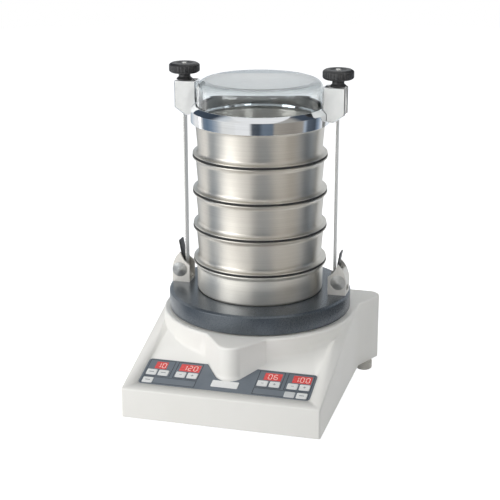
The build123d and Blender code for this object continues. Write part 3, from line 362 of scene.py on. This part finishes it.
def finish_mesh(name, mesh, material, nodes=(), body=None, smooth=35.0, between=None):
    """Link a mesh as a piece: shade it, give it its finish, let it ride and stand for its CAD nodes.

    With between, given as (body, body, start, end), the piece rides on no body and is baked where it stands."""
    made = bmesh.new()
    made.from_mesh(mesh)
    bmesh.ops.recalc_face_normals(made, faces=made.faces)
    made.to_mesh(mesh)
    made.free()
    mesh.shade_smooth()
    mesh.set_sharp_from_angle(angle=radians(smooth))
    piece = bpy.data.objects.new(name, mesh)
    bpy.context.scene.collection.objects.link(piece)
    if not mesh.materials:
        mesh.materials.append(material)
    if between:
        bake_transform(piece)
    else:
        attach(piece, body or BODY_OF[nodes[0]])
    if nodes:
        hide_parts(*nodes)
    return piece


def rounded(points):
    """Outline with rounded corners: points are (a, b) or (a, b, radius), as a closed loop."""
    loop = []
    count = len(points)
    for n, point in enumerate(points):
        radius = point[2] if len(point) > 2 else 0.0
        here = Vector(point[:2])
        if not radius:
            loop.append(here)
            continue
        back = Vector(points[n - 1][:2]) - here
        ahead = Vector(points[(n + 1) % count][:2]) - here
        half = back.angle(ahead) / 2
        run = min(radius / tan(half), back.length * 0.49, ahead.length * 0.49)
        radius = run * tan(half)
        centre = here + (back.normalized() + ahead.normalized()).normalized() * (radius / sin(half))
        start = here + back.normalized() * run - centre
        end = here + ahead.normalized() * run - centre
        steps = max(3, int(start.angle(end) / radians(11)))
        for step in range(steps + 1):
            part = step / steps
            arc = start.slerp(end, part)
            loop.append(centre + arc.normalized() * radius)
    return loop


def lathe(name, points, material, nodes, x=0.0, segments=192, wave=None, smooth=35.0):
    """Piece turned about an upright axis, x beside the sieve axis, from a (radius, height) outline."""
    loop = rounded(points)
    made = bmesh.new()
    rings = []
    for radius, height in loop:
        if radius < 1e-6:
            rings.append([made.verts.new((x * MM, AXIS_Y * MM, height * MM))])
            continue
        ring = []
        for n in range(segments):
            angle = 2 * pi * n / segments
            r = wave(radius, height, angle) if wave else radius
            place = (x + r * cos(angle), AXIS_Y + r * sin(angle), height)
            ring.append(made.verts.new([along * MM for along in place]))
        rings.append(ring)
    for n, ring in enumerate(rings):
        other = rings[(n + 1) % len(rings)]
        if len(ring) == 1 and len(other) == 1:
            continue
        for k in range(segments):
            following = (k + 1) % segments
            if len(ring) == 1:
                made.faces.new((ring[0], other[k], other[following]))
            elif len(other) == 1:
                made.faces.new((ring[k], other[0], ring[following]))
            else:
                made.faces.new((ring[k], other[k], other[following], ring[following]))
    mesh = bpy.data.meshes.new(name)
    made.to_mesh(mesh)
    made.free()
    return finish_mesh(name, mesh, material, nodes, smooth=smooth)


FACET_ANGLE = 32.0


def smooth_copy(node, material, between=None):
    """A CAD piece with its facets joined and shaded round."""
    mesh = frame["nodes"][node].data.copy()
    mesh.materials.clear()
    made = bmesh.new()
    made.from_mesh(mesh)
    bmesh.ops.remove_doubles(made, verts=made.verts, dist=0.00001)
    made.to_mesh(mesh)
    made.free()
    return finish_mesh(node + "_shown", mesh, material, (node,), smooth=FACET_ANGLE, between=between)


def plates(name, boxes, material, body):
    """Thin rounded plates on the deck, from (x, v, width, depth, corner, low, high) in millimetres."""
    mesh = bpy.data.meshes.new(name)
    made = bmesh.new()
    for x, v, width, depth, corner, low, high in boxes:
        outline = rounded([(x - width / 2, v - depth / 2, corner), (x + width / 2, v - depth / 2, corner),
                           (x + width / 2, v + depth / 2, corner), (x - width / 2, v + depth / 2, corner)])
        prism(made, outline, low, high)
    made.to_mesh(mesh)
    made.free()
    return finish_mesh(name, mesh, material, body=body)


def prism(made, outline, low, high):
    """Upright prism on the deck over a closed outline."""
    bottom = [made.verts.new(on_deck(a, b, low)) for a, b in outline]
    top = [made.verts.new(on_deck(a, b, high)) for a, b in outline]
    made.faces.new(bottom[::-1])
    made.faces.new(top)
    for n in range(len(outline)):
        following = (n + 1) % len(outline)
        made.faces.new((bottom[n], bottom[following], top[following], top[n]))


def on_deck(x, v, height):
    """Place in the row frame of a point across, up and out of the deck, in millimetres."""
    y = FRONT_Y + v * cos(DECK_SLOPE) - height * sin(DECK_SLOPE)
    z = DECK_EDGE_Z + v * sin(DECK_SLOPE) + height * cos(DECK_SLOPE)
    return (x * MM, y * MM, z * MM)


# CAD pieces that keep their own mesh, with their finish

for finish, nodes in FINISHES.items():
    for node in nodes:
        chosen = MATERIALS["key_dim"] if node in DIM_KEYS else MATERIALS[finish]
        shown = frame["nodes"][node]
        shown.data.materials.clear()
        shown.data.materials.append(chosen)

for node in ("housing_shell", "rubber_feet", "bracket_right", "bracket_left", "bracket_pins", "lever_right",
             "lever_left", "drive_column", "drive_frame", "strap_right", "strap_left"):
    kind = next(finish for finish, nodes in FINISHES.items() if node in nodes)
    smooth_copy(node, MATERIALS[kind])

# The springs stand on the base and carry the head
END_COIL = 4.0
smooth_copy("drive_springs", MATERIALS["spring"],
            between=("base", "head", (0.0, AXIS_Y * MM, (edge("drive_springs", LOW, Z) + END_COIL) * MM),
                     (0.0, AXIS_Y * MM, (edge("drive_springs", HIGH, Z) - END_COIL) * MM)))


# Sieve plate, with a shallow seat for the pan

SEAT_RADIUS = 97.5
SEAT_FLOOR = PLATE_TOP - 1.6

lathe("plate_turned", [(0, PLATE_BOTTOM), (PLATE_RADIUS - 0.2, PLATE_BOTTOM, 1.6),
                       (PLATE_RADIUS, PLATE_TOP - 2.6, 1.2), (PLATE_RADIUS - 4.0, PLATE_TOP, 1.2),
                       (SEAT_RADIUS, PLATE_TOP, 0.3), (SEAT_RADIUS, SEAT_FLOOR), (0, SEAT_FLOOR)],
      MATERIALS["plate"], ("sieve_plate",), segments=256)


# Pan, sieves and seals

RIM_RADIUS = 103.0


def rolled_rim(rim, round_under):
    """Outline of a rolled rim, from the wall's outside over the top to its inside."""
    return [(98.0, rim - 6.8, round_under), (RIM_RADIUS, rim - 1.6, 0.6), (RIM_RADIUS, rim, 0.5),
            (RIM_RADIUS - 1.4, rim, 0.4), (97.0, rim - 5.2, 4.0)]


def pan():
    """Drawn pan with a rounded foot and a rolled rim."""
    foot = PAN_BOTTOM
    inside = foot + 1.0
    outline = [(0, foot), (97.0, foot, 5.0)] + rolled_rim(PAN_RIM, 6.0) + [(96.0, inside, 4.0), (0, inside)]
    lathe("pan_spun", outline, MATERIALS["pan"], ("collecting_pan",))


def sieve(number):
    """Spun sieve frame with rolled rim, tapered wall, flare and skirt, and its sealing ring."""
    rim = RIMS[number]
    flare = rim - SIEVE_PITCH + 3.6
    waist = rim - 45.9
    skirt = rim - SIEVE_PITCH - 9.0
    below = [(95.6, skirt), (96.6, skirt), (96.6, flare, 0.3), (102.5, flare, 0.4), (102.5, flare + 1.5, 0.6),
             (97.3, flare + 2.5, 1.6), (94.7, waist, 5.0)]
    lathe("sieve_spun_%d" % number, below + rolled_rim(rim, 7.0) + [(93.7, waist, 3.0), (93.7, flare + 0.5)],
          MATERIALS["sieve"], ("sieve_frame_%d" % number,))
    low = rim - SIEVE_PITCH + 0.3
    high = low + 3.28
    lathe("seal_moulded_%d" % number, [(98.2, low), (102.7, low, 1.4), (102.7, high, 1.4), (98.2, high)],
          MATERIALS["seal"], ("seal_ring_%d" % number,))


pan()
for number in RIMS:
    sieve(number)


# Woven wire cloth, drawn coarser than real cloth so that the weave shows

CLOTH_PITCH = 4.0
CLOTH_WIRE = 1.2
CLOTH_RADIUS = 93.2


def wire_cloth_tree():
    """Plain weave: a cell of two crossing wires on each point of a grid, every other one turned a quarter."""
    tree = bpy.data.node_groups.new("wire_cloth", "GeometryNodeTree")
    for name in ("Pitch", "Wire", "Radius", "Height", "Axis Y"):
        tree.interface.new_socket(name, in_out="INPUT", socket_type="NodeSocketFloat")
    tree.interface.new_socket("Material", in_out="INPUT", socket_type="NodeSocketMaterial")
    tree.interface.new_socket("Geometry", in_out="OUTPUT", socket_type="NodeSocketGeometry")
    sizes = add(tree, "NodeGroupInput").outputs
    pitch = sizes["Pitch"]
    wire = sizes["Wire"]
    place = add(tree, "GeometryNodeInputPosition")
    parts = add(tree, "ShaderNodeSeparateXYZ", {0: place}).outputs

    # Crossings on a square grid, kept where they lie inside the frame's wall
    width = add(tree, "ShaderNodeMath", {0: sizes["Radius"], 1: 2.0}, operation="MULTIPLY")
    fitting = add(tree, "ShaderNodeMath", {0: width, 1: pitch}, operation="DIVIDE")
    cells = add(tree, "ShaderNodeMath", {0: fitting}, operation="CEIL")
    side = add(tree, "ShaderNodeMath", {0: cells, 1: pitch}, operation="MULTIPLY")
    points = add(tree, "ShaderNodeMath", {0: cells, 1: 1.0}, operation="ADD")
    grid = add(tree, "GeometryNodeMeshGrid", {"Size X": side, "Size Y": side, "Vertices X": points,
                                              "Vertices Y": points})
    distance = add(tree, "ShaderNodeVectorMath", {0: place}, operation="LENGTH").outputs["Value"]
    wall = add(tree, "ShaderNodeMath", {0: pitch, 1: -0.55, 2: sizes["Radius"]}, operation="MULTIPLY_ADD")
    outside = add(tree, "FunctionNodeCompare", {0: distance, 1: wall}, data_type="FLOAT",
                  operation="GREATER_THAN")
    kept = add(tree, "GeometryNodeDeleteGeometry", {"Geometry": grid, "Selection": outside}, domain="POINT")

    # A cell: one wave of wire, and one across it that bends the other way
    begins = add(tree, "ShaderNodeMath", {0: pitch, 1: -0.5}, operation="MULTIPLY")
    ends = add(tree, "ShaderNodeMath", {0: pitch, 1: 0.5}, operation="MULTIPLY")
    start = add(tree, "ShaderNodeCombineXYZ", {"X": begins})
    end = add(tree, "ShaderNodeCombineXYZ", {"X": ends})
    line = add(tree, "GeometryNodeCurvePrimitiveLine", {"Start": start, "End": end})
    fine = add(tree, "GeometryNodeResampleCurve", {"Curve": line, "Count": 4})
    along = add(tree, "ShaderNodeMath", {0: parts["X"], 1: pitch}, operation="DIVIDE")
    angle = add(tree, "ShaderNodeMath", {0: along, 1: pi}, operation="MULTIPLY")
    wave = add(tree, "ShaderNodeMath", {0: angle}, operation="COSINE")
    radius = add(tree, "ShaderNodeMath", {0: wire, 1: 0.5}, operation="MULTIPLY")
    profile = add(tree, "GeometryNodeCurvePrimitiveCircle", {"Resolution": 4, "Radius": radius})
    cell = add(tree, "GeometryNodeJoinGeometry")
    for lift, turn in ((0.5, 0.0), (-0.5, pi / 2)):
        height = add(tree, "ShaderNodeMath", {0: wire, 1: lift}, operation="MULTIPLY")
        rise = add(tree, "ShaderNodeMath", {0: wave, 1: height}, operation="MULTIPLY")
        offset = add(tree, "ShaderNodeCombineXYZ", {"Z": rise})
        bent = add(tree, "GeometryNodeSetPosition", {"Geometry": fine, "Offset": offset})
        tube = add(tree, "GeometryNodeCurveToMesh", {"Curve": bent, "Profile Curve": profile,
                                                     "Fill Caps": True})
        turned = add(tree, "GeometryNodeTransform", {"Geometry": tube, "Rotation": (0, 0, turn)})
        feed(tree, cell, {"Geometry": turned})

    # Cells on the crossings, every other one turned a quarter
    diagonal = add(tree, "ShaderNodeMath", {0: parts["X"], 1: parts["Y"]}, operation="ADD")
    steps = add(tree, "ShaderNodeMath", {0: diagonal, 1: pitch}, operation="DIVIDE")
    whole = add(tree, "ShaderNodeMath", {0: steps}, operation="ROUND")
    odd = add(tree, "ShaderNodeMath", {0: whole, 1: 2.0}, operation="FLOORED_MODULO")
    quarter = add(tree, "ShaderNodeMath", {0: odd, 1: pi / 2}, operation="MULTIPLY")
    upright = add(tree, "ShaderNodeCombineXYZ", {"Z": quarter})
    woven = add(tree, "GeometryNodeInstanceOnPoints", {"Points": kept, "Instance": cell, "Rotation": upright})
    where = add(tree, "ShaderNodeCombineXYZ", {"Y": sizes["Axis Y"], "Z": sizes["Height"]})
    raised = add(tree, "GeometryNodeTransform", {"Geometry": woven, "Translation": where})
    real = add(tree, "GeometryNodeRealizeInstances", {"Geometry": raised})
    dressed = add(tree, "GeometryNodeSetMaterial", {"Geometry": real, "Material": sizes["Material"]})
    add(tree, "NodeGroupOutput", {"Geometry": dressed})
    return tree


def evaluated(tree, **values):
    """Plain mesh that a node tree makes with these values."""
    holder = bpy.data.objects.new("holder", bpy.data.meshes.new("holder"))
    bpy.context.scene.collection.objects.link(holder)
    modifier = holder.modifiers.new("nodes", "NODES")
    modifier.node_group = tree
    for item in tree.interface.items_tree:
        key = item.name.replace(" ", "_")
        if item.in_out == "INPUT" and key in values:
            modifier[item.identifier] = values[key]
    ready = holder.evaluated_get(bpy.context.evaluated_depsgraph_get())
    mesh = bpy.data.meshes.new_from_object(ready)
    bpy.data.objects.remove(holder)
    return mesh


CLOTH_TREE = wire_cloth_tree()
for number in RIMS:
    node = "sieve_mesh_%d" % number
    cloth = evaluated(CLOTH_TREE, Pitch=CLOTH_PITCH * MM, Wire=CLOTH_WIRE * MM, Radius=CLOTH_RADIUS * MM,
                      Height=(edge(node, LOW, Z) + edge(node, HIGH, Z)) / 2 * MM, Axis_Y=AXIS_Y * MM,
                      Material=MATERIALS["wire"])
    finish_mesh("wire_cloth_%d" % number, cloth, MATERIALS["wire"], (node,))


# Clamp ring and its clevises

RING_RADIUS = 105.0
RING_BORE = 103.5
RING_NECK = 96.5
RING_TOP = RING_BOTTOM + 17.7
RING_CROWN = RING_TOP + 7.4
RING_SHOULDER = RIMS[1] + 4.0

lathe("ring_turned", [(RING_BORE, RING_BOTTOM, 0.3), (RING_RADIUS, RING_BOTTOM, 0.6),
                      (RING_RADIUS, RING_TOP, 0.9), (98.1, RING_CROWN, 0.8), (RING_NECK, RING_CROWN, 0.5),
                      (RING_NECK, RING_SHOULDER, 0.2), (RING_BORE, RING_SHOULDER, 0.2)],
      MATERIALS["chrome"], ("clamp_ring",), segments=256)


def slab(made, outline, low, high, index=0):
    """Upright plate over an X-Z outline, between two places along Y measured from the sieve axis."""
    front = [made.verts.new((a * MM, (AXIS_Y + low) * MM, b * MM)) for a, b in outline]
    back = [made.verts.new((a * MM, (AXIS_Y + high) * MM, b * MM)) for a, b in outline]
    faces = [made.faces.new(front), made.faces.new(back[::-1])]
    for n in range(len(outline)):
        following = (n + 1) % len(outline)
        faces.append(made.faces.new((front[n], back[n], back[following], front[following])))
    for face in faces:
        face.material_index = index


def soften(piece, width_mm, edge_slot=-1):
    """Rounded edges; edge_slot gives them their own finish."""
    edges = piece.modifiers.new("edges", "BEVEL")
    edges.width = width_mm * MM
    edges.segments = 3
    edges.limit_method = "ANGLE"
    edges.angle_limit = radians(40)
    edges.material = edge_slot


def clevis(side):
    """Two blasted cheeks with polished edges, joined by a polished web on the lid's side."""
    mesh = bpy.data.meshes.new("clevis")
    for finish in ("blasted", "chrome"):
        mesh.materials.append(MATERIALS[finish])
    flat = CLEVIS_TOP - 41.0
    top = CLEVIS_TOP - 0.1
    foot = RING_CROWN - 6.0
    cheek = rounded([(98.0, CLEVIS_TOP, 2.5), (131.5, CLEVIS_TOP, 2.5), (131.5, flat, 2.5),
                     (114.5, flat - 12.0, 2.5), (103.2, flat - 10.0), (103.2, RING_TOP - 0.4),
                     (98.0, RING_CROWN - 1.0)])
    web = [(97.6, foot), (100.5, foot), (100.5, top), (97.6, top)]
    made = bmesh.new()
    for low, high in ((-13.0, -9.0), (9.0, 13.0)):
        slab(made, [(side * a, b) for a, b in cheek], low, high)
    slab(made, [(side * a, b) for a, b in web], -12.4, 12.4, 1)
    made.to_mesh(mesh)
    made.free()
    name = "clevis_right" if side > 0 else "clevis_left"
    piece = finish_mesh(name, mesh, MATERIALS["blasted"], ("clamp_ring",))
    soften(piece, 1.8, 1)


clevis(1)
clevis(-1)


# Lid

lathe("lid_moulded", [(92.5, LID_BOTTOM, 0.3), (103.1, LID_BOTTOM, 0.5), (103.1, LID_BOTTOM + 3.4, 0.8),
                      (95.5, LID_BOTTOM + 3.4, 1.2), (95.5, LID_TOP, 15.0), (0, LID_TOP), (0, LID_TOP - 3.0),
                      (92.5, LID_TOP - 3.0, 12.0)],
      MATERIALS["lid"], ("clear_lid",), smooth=40.0)


# Clamping knobs

KNOB_RIM = KNOB_BOTTOM + 11.0
KNOB_RADIUS = 23.4
KNOB_GROOVES = 24
GROOVE_DEPTH = 0.7
STRAP_X = 118.5
SPINDLE_BORE = 4.06


def gripped(radius, height, angle):
    """Radius of a knob's head with its grooves, which run out towards the middle."""
    if radius < 19.0 or height < KNOB_RIM - 0.5:
        return radius
    groove = (0.5 + 0.5 * cos(KNOB_GROOVES * angle)) ** 5
    return radius - GROOVE_DEPTH * groove * min(1.0, (radius - 19.0) / 3.0)


def knob(side):
    """Clamping knob with a dished face, rounded grooved head, neck and collar."""
    name = "knob_right" if side > 0 else "knob_left"
    low = KNOB_BOTTOM
    rim = KNOB_RIM
    top = KNOB_TOP
    outline = [(SPINDLE_BORE, low), (12.2, low, 0.4), (12.2, low + 1.8, 0.6), (9.0, low + 4.5, 2.0),
               (9.0, rim - 2.0, 1.5), (13.0, rim, 1.5), (20.2, rim, 2.0), (KNOB_RADIUS, rim + 2.2, 2.5),
               (KNOB_RADIUS, top - 2.6, 2.5), (19.6, top, 2.5), (13.5, top - 0.1, 1.5),
               (10.0, top - 1.5, 1.5), (SPINDLE_BORE, top - 1.6, 0.3)]
    lathe(name + "_moulded", outline, MATERIALS["knob"], (name,), x=side * STRAP_X, segments=288,
          wave=gripped)


knob(1)
knob(-1)


# Print on the panel and the keys, and the digits in the displays

KEY_TOP = 1.12
DISPLAY_FACE = 0.32
LINE = 1.1
SEGMENTS = {"0": "abcdef", "1": "bc", "2": "abged", "6": "afgedc"}
SEGMENT_WIDTH = 1.2
DIGIT_WIDTH = 5.0
DIGIT_HALF = 5.4
DIGIT_PITCH = 8.4
DIGIT_ROW = 63.5


def bars(x0, v0, x1, v1, width):
    """Four bars that frame a field."""
    middle = (x0 + x1) / 2
    level = (v0 + v1) / 2
    across = x1 - x0 + width
    up = v1 - v0 - width
    return [(middle, v0, across, width), (middle, v1, across, width),
            (x0, level, width, up), (x1, level, width, up)]


def printed(name, boxes, finish, body, face, thick=0.03):
    """Thin print on a face: boxes are (x, v, width, depth)."""
    return plates(name, [box + (min(box[2], box[3]) * 0.3, face, face + thick) for box in boxes],
                  MATERIALS[finish], body)


def digit_bars(x, v, sign):
    """Bars of one seven-segment digit, centred at a place."""
    right = DIGIT_WIDTH / 2
    up = DIGIT_HALF / 2
    flat = (DIGIT_WIDTH - SEGMENT_WIDTH, SEGMENT_WIDTH)
    upright = (SEGMENT_WIDTH, DIGIT_HALF - SEGMENT_WIDTH)
    places = {"a": (0, DIGIT_HALF, flat), "g": (0, 0, flat), "d": (0, -DIGIT_HALF, flat),
              "f": (-right, up, upright), "b": (right, up, upright),
              "e": (-right, -up, upright), "c": (right, -up, upright)}
    return [(x + places[letter][0], v + places[letter][1]) + places[letter][2] for letter in SEGMENTS[sign]]


BASE = BODY_OF["panel_membrane"]
FIELDS = [(-125.0, 37.2, -86.5, 75.4), (-81.0, 37.2, -43.5, 75.4), (43.5, 37.2, 81.0, 75.4),
          (86.5, 37.2, 125.0, 75.4), (-125.0, 20.4, -43.5, 34.6), (43.5, 20.4, 125.0, 34.6)]
frames = []
for field in FIELDS:
    frames += bars(*field, LINE)
printed("panel_lines", frames, "outline", BASE, PANEL_FACE)
printed("panel_fields", [((a + c) / 2, (b + d) / 2, c - a - LINE, d - b - LINE) for a, b, c, d in FIELDS[4:]],
        "field", BASE, PANEL_FACE, 0.015)

READINGS = ((-105.5, "10"), (-61.0, "120"), (65.0, "06"), (108.5, "100"))
segments = []
for centre, reading in READINGS:
    for n, sign in enumerate(reading):
        segments += digit_bars(centre + (n - (len(reading) - 1) / 2) * DIGIT_PITCH, DIGIT_ROW, sign)
printed("display_digits", segments, "digit", BODY_OF["led_displays"], DISPLAY_FACE)

MARKS = {"key_left_1": "bar", "key_left_2": "bar", "key_left_3": "minus", "key_left_4": "plus",
         "key_left_5": "bar", "key_right_1": "minus", "key_right_2": "plus", "key_right_3": "minus",
         "key_right_4": "plus", "key_right_6": "bar"}
MARK_BARS = {"bar": [(0, 0, 7.5, 1.5)], "minus": [(0, 0, 4.2, 1.0)],
             "plus": [(0, 0, 4.2, 1.0), (0, 1.35, 1.0, 1.7), (0, -1.35, 1.0, 1.7)]}
KEY_ROW = 46.0
LOWER_KEYS = ("key_left_5", "key_right_6")
LOWER_KEY_ROW = 26.5
for node, mark in MARKS.items():
    x = (edge(node, LOW, X) + edge(node, HIGH, X)) / 2
    row = LOWER_KEY_ROW if node in LOWER_KEYS else KEY_ROW
    printed(node + "_mark", [(x + dx, row + dv, w, d) for dx, dv, w, d in MARK_BARS[mark]], "legend",
            BODY_OF[node], KEY_TOP)


# Camera at the photograph's place

CAMERA_PLACE = (0.4822, AXIS_Y * MM - 1.8646, 0.8294)
CAMERA_HEADING = radians(-14.965)
CAMERA_PITCH = radians(17.881)
CAMERA_ROLL = radians(-0.077)
CAMERA_LENS = 93.6


def place_camera():
    """Camera fitted to the seals, the ring and the housing corners of the photograph."""
    data = bpy.data.cameras.new("camera")
    data.sensor_width = 36.0
    data.lens = CAMERA_LENS
    data.clip_end = 50.0
    camera = bpy.data.objects.new("camera", data)
    bpy.context.scene.collection.objects.link(camera)
    ahead = Vector((sin(CAMERA_HEADING) * cos(CAMERA_PITCH), cos(CAMERA_HEADING) * cos(CAMERA_PITCH),
                    -sin(CAMERA_PITCH)))
    right = Vector((cos(CAMERA_HEADING), -sin(CAMERA_HEADING), 0.0))
    up = right.cross(ahead)
    side = right * cos(CAMERA_ROLL) + up * sin(CAMERA_ROLL)
    up = up * cos(CAMERA_ROLL) - right * sin(CAMERA_ROLL)
    turn = Matrix((side, up, -ahead)).transposed().to_4x4()
    camera.matrix_world = Matrix.Translation(CAMERA_PLACE) @ turn
    bpy.context.scene.camera = camera


def area_light(name, place, target, width, height, power):
    """Soft rectangular light aimed at a target, in metres and watts."""
    data = bpy.data.lights.new(name, "AREA")
    data.shape = "RECTANGLE"
    data.size = width
    data.size_y = height
    data.energy = power
    light = bpy.data.objects.new(name, data)
    bpy.context.scene.collection.objects.link(light)
    direction = Vector(target) - Vector(place)
    light.matrix_world = Matrix.Translation(place) @ direction.to_track_quat("-Z", "Y").to_matrix().to_4x4()
    return light


def shown_white(tree):
    """One for a ray that the camera sends, straight or by way of metal or clear plastic."""
    path = add(tree, "ShaderNodeLightPath").outputs
    seen = add(tree, "ShaderNodeMath", {0: path["Is Camera Ray"], 1: path["Is Glossy Ray"]},
               operation="MAXIMUM")
    return add(tree, "ShaderNodeMath", {0: seen, 1: path["Is Transmission Ray"]}, operation="MAXIMUM")


WHITE = (1.0, 1.0, 1.0, 1.0)
SKY = "E2E6EA"
SKY_STRENGTH = 0.42
MIDDLE = (0.0, AXIS_Y * MM, 0.25)
RIGHT_CLEVIS = (0.13, AXIS_Y * MM, 0.455)


def studio():
    """White surroundings as the camera sees them, an even pale sky for the light, and four soft boxes."""
    world = bpy.data.worlds.new("studio")
    bpy.context.scene.world = world
    world.use_nodes = True
    tree = world.node_tree
    tree.nodes.clear()
    seen = add(tree, "ShaderNodeBackground", {"Color": WHITE, "Strength": 1.0})
    sky = add(tree, "ShaderNodeBackground", {"Color": colour(SKY), "Strength": SKY_STRENGTH})
    mix = add(tree, "ShaderNodeMixShader", {0: shown_white(tree), 1: sky, 2: seen})
    add(tree, "ShaderNodeOutputWorld", {"Surface": mix})
    area_light("key_light", (-1.5, -1.6, 0.82), MIDDLE, 1.2, 1.2, 35.5)
    area_light("fill_light", (1.9, -0.6, 1.0), MIDDLE, 0.9, 1.4, 6.5)
    spot = area_light("clevis_light", (0.9, -1.1, 1.0), RIGHT_CLEVIS, 0.3, 0.3, 0.45)
    spot.data.spread = radians(26)
    top = area_light("top_light", (0.0, 0.3, 2.0), MIDDLE, 1.6, 1.6, 5.0)
    top.visible_glossy = False


# Reflecting boards round the object, which only metal and gloss see: tones by direction, in degrees from the
# camera's side
LOW_TONES = (
    (-180, "DDE4EA"), (-140, "C4D0DC"), (-121, "FFFFFF"), (-101, "FFFFFF"), (-95, "7F8E9E"), (-86, "6F8296"),
    (-76, "8A9AAC"), (-66, "BAC1C9"), (-56, "F4F4F2"), (-16, "FFFFFF"), (-11, "5A6068"), (-2, "4C545E"),
    (4, "74808E"), (17, "6E7A88"), (21, "A8A299"), (48, "98928A"), (64, "A39D95"), (69, "B4C0CE"),
    (74, "5E6874"), (90, "4C545E"), (98, "8FA0B4"), (108, "F2F6FA"), (150, "F2F6FA"), (180, "DDE4EA"))
HIGH_TONES = (
    (-180, "FFFFFF"), (-152, "E8ECF0"), (-140, "4A5563"), (-95, "3F4955"), (-82, "D8DEE4"), (-60, "F4F4F2"),
    (-20, "FFFFFF"), (-8, "C4C4C2"), (70, "AFADA8"), (84, "4A5360"), (140, "3C4550"), (155, "E8ECF0"),
    (180, "FFFFFF"))
FOOT_TONES = ((-180, "202224"), (22, "4A4E52"), (34, "202224"), (180, "202224"))
TOWARDS_CAMERA = atan2(CAMERA_PLACE[1] - AXIS_Y * MM, CAMERA_PLACE[0])


def board_glow(name, strength=1.0, tones=()):
    """White glow, or one whose tones go round the sieve axis."""
    material = bpy.data.materials.new(name)
    material.use_nodes = True
    tree = material.node_tree
    tree.nodes.clear()
    tint = WHITE
    if tones:
        side = cos(TOWARDS_CAMERA)
        ahead = sin(TOWARDS_CAMERA)
        coordinates = add(tree, "ShaderNodeTexCoord").outputs["Object"]
        place = add(tree, "ShaderNodeVectorMath", {0: coordinates, 1: (0.0, AXIS_Y * MM, 0.0)},
                    operation="SUBTRACT")
        near = add(tree, "ShaderNodeVectorMath", {0: place, 1: (side, ahead, 0.0)}, operation="DOT_PRODUCT")
        right = add(tree, "ShaderNodeVectorMath", {0: place, 1: (-ahead, side, 0.0)}, operation="DOT_PRODUCT")
        turn = add(tree, "ShaderNodeMath", {0: right.outputs["Value"], 1: near.outputs["Value"]},
                   operation="ARCTAN2")
        part = add(tree, "ShaderNodeMath", {0: turn, 1: 0.5 / pi, 2: 0.5}, operation="MULTIPLY_ADD")
        stops = [((angle + 180) / 360, code) for angle, code in tones]
        tint = add(tree, "ShaderNodeValToRGB", {"Fac": part}, stops)
    glow = add(tree, "ShaderNodeEmission", {"Color": tint, "Strength": strength})
    add(tree, "ShaderNodeOutputMaterial", {"Surface": glow})
    return material


def reflecting_board(start, end, low, high, radius, material):
    """Curved board seen only as a reflection, between two directions and two heights."""
    made = bmesh.new()
    steps = max(2, int((end - start) / 3))
    rows = []
    for n in range(steps + 1):
        angle = TOWARDS_CAMERA + radians(start + (end - start) * n / steps)
        x = radius * cos(angle)
        y = AXIS_Y * MM + radius * sin(angle)
        rows.append((made.verts.new((x, y, low)), made.verts.new((x, y, high))))
    for one, two in zip(rows, rows[1:]):
        made.faces.new((one[0], two[0], two[1], one[1]))
    mesh = bpy.data.meshes.new(material.name)
    made.to_mesh(mesh)
    made.free()
    mesh.materials.append(material)
    board = bpy.data.objects.new(material.name, mesh)
    bpy.context.scene.collection.objects.link(board)
    board.visible_camera = False
    board.visible_diffuse = False
    board.visible_transmission = False
    board.visible_shadow = False


def reflecting_boards():
    """Bands that the ring, the sieves and the lid show."""
    reflecting_board(-180, 180, 0.005, 0.52, 0.42, board_glow("low_board", tones=LOW_TONES))
    reflecting_board(-180, 180, 0.52, 1.10, 0.42, board_glow("high_board", tones=HIGH_TONES))
    reflecting_board(22, 120, 0.001, 0.062, 0.405, board_glow("foot_board", tones=FOOT_TONES))
    reflecting_board(-36, -18, 0.03, 0.50, 0.41, board_glow("window_strip"))
    reflecting_board(-107, -102, 0.20, 0.50, 0.41, board_glow("edge_strip", 2.5))


FLOOR_RADIUS = 4.0
FLOOR_GLOW = 0.84
FLOOR_PAPER = ((0.3, "D6D6D6"), (0.7, "D8D8D8"))


def floor():
    """Round white floor under the feet, which keeps a soft shadow."""
    made = bmesh.new()
    bmesh.ops.create_circle(made, cap_ends=True, segments=96, radius=FLOOR_RADIUS)
    mesh = bpy.data.meshes.new("floor")
    made.to_mesh(mesh)
    made.free()
    material, tree, shader, vector = begin("floor_paper", Roughness=0.95, Specular_IOR_Level=0.0,
                                           Emission_Color=WHITE)
    paper = add(tree, "ShaderNodeTexNoise", {"Vector": vector, "Scale": METRE / 300.0, "Detail": 2.0})
    glow = add(tree, "ShaderNodeMath", {0: shown_white(tree), 1: FLOOR_GLOW}, operation="MULTIPLY")
    feed(tree, shader, {"Base Color": add(tree, "ShaderNodeValToRGB", {"Fac": paper}, FLOOR_PAPER),
                        "Emission Strength": glow})
    mesh.materials.append(material)
    ground = bpy.data.objects.new("floor", mesh)
    bpy.context.scene.collection.objects.link(ground)


place_camera()
studio()
reflecting_boards()
floor()
bpy.context.scene.view_settings.view_transform = "Standard"
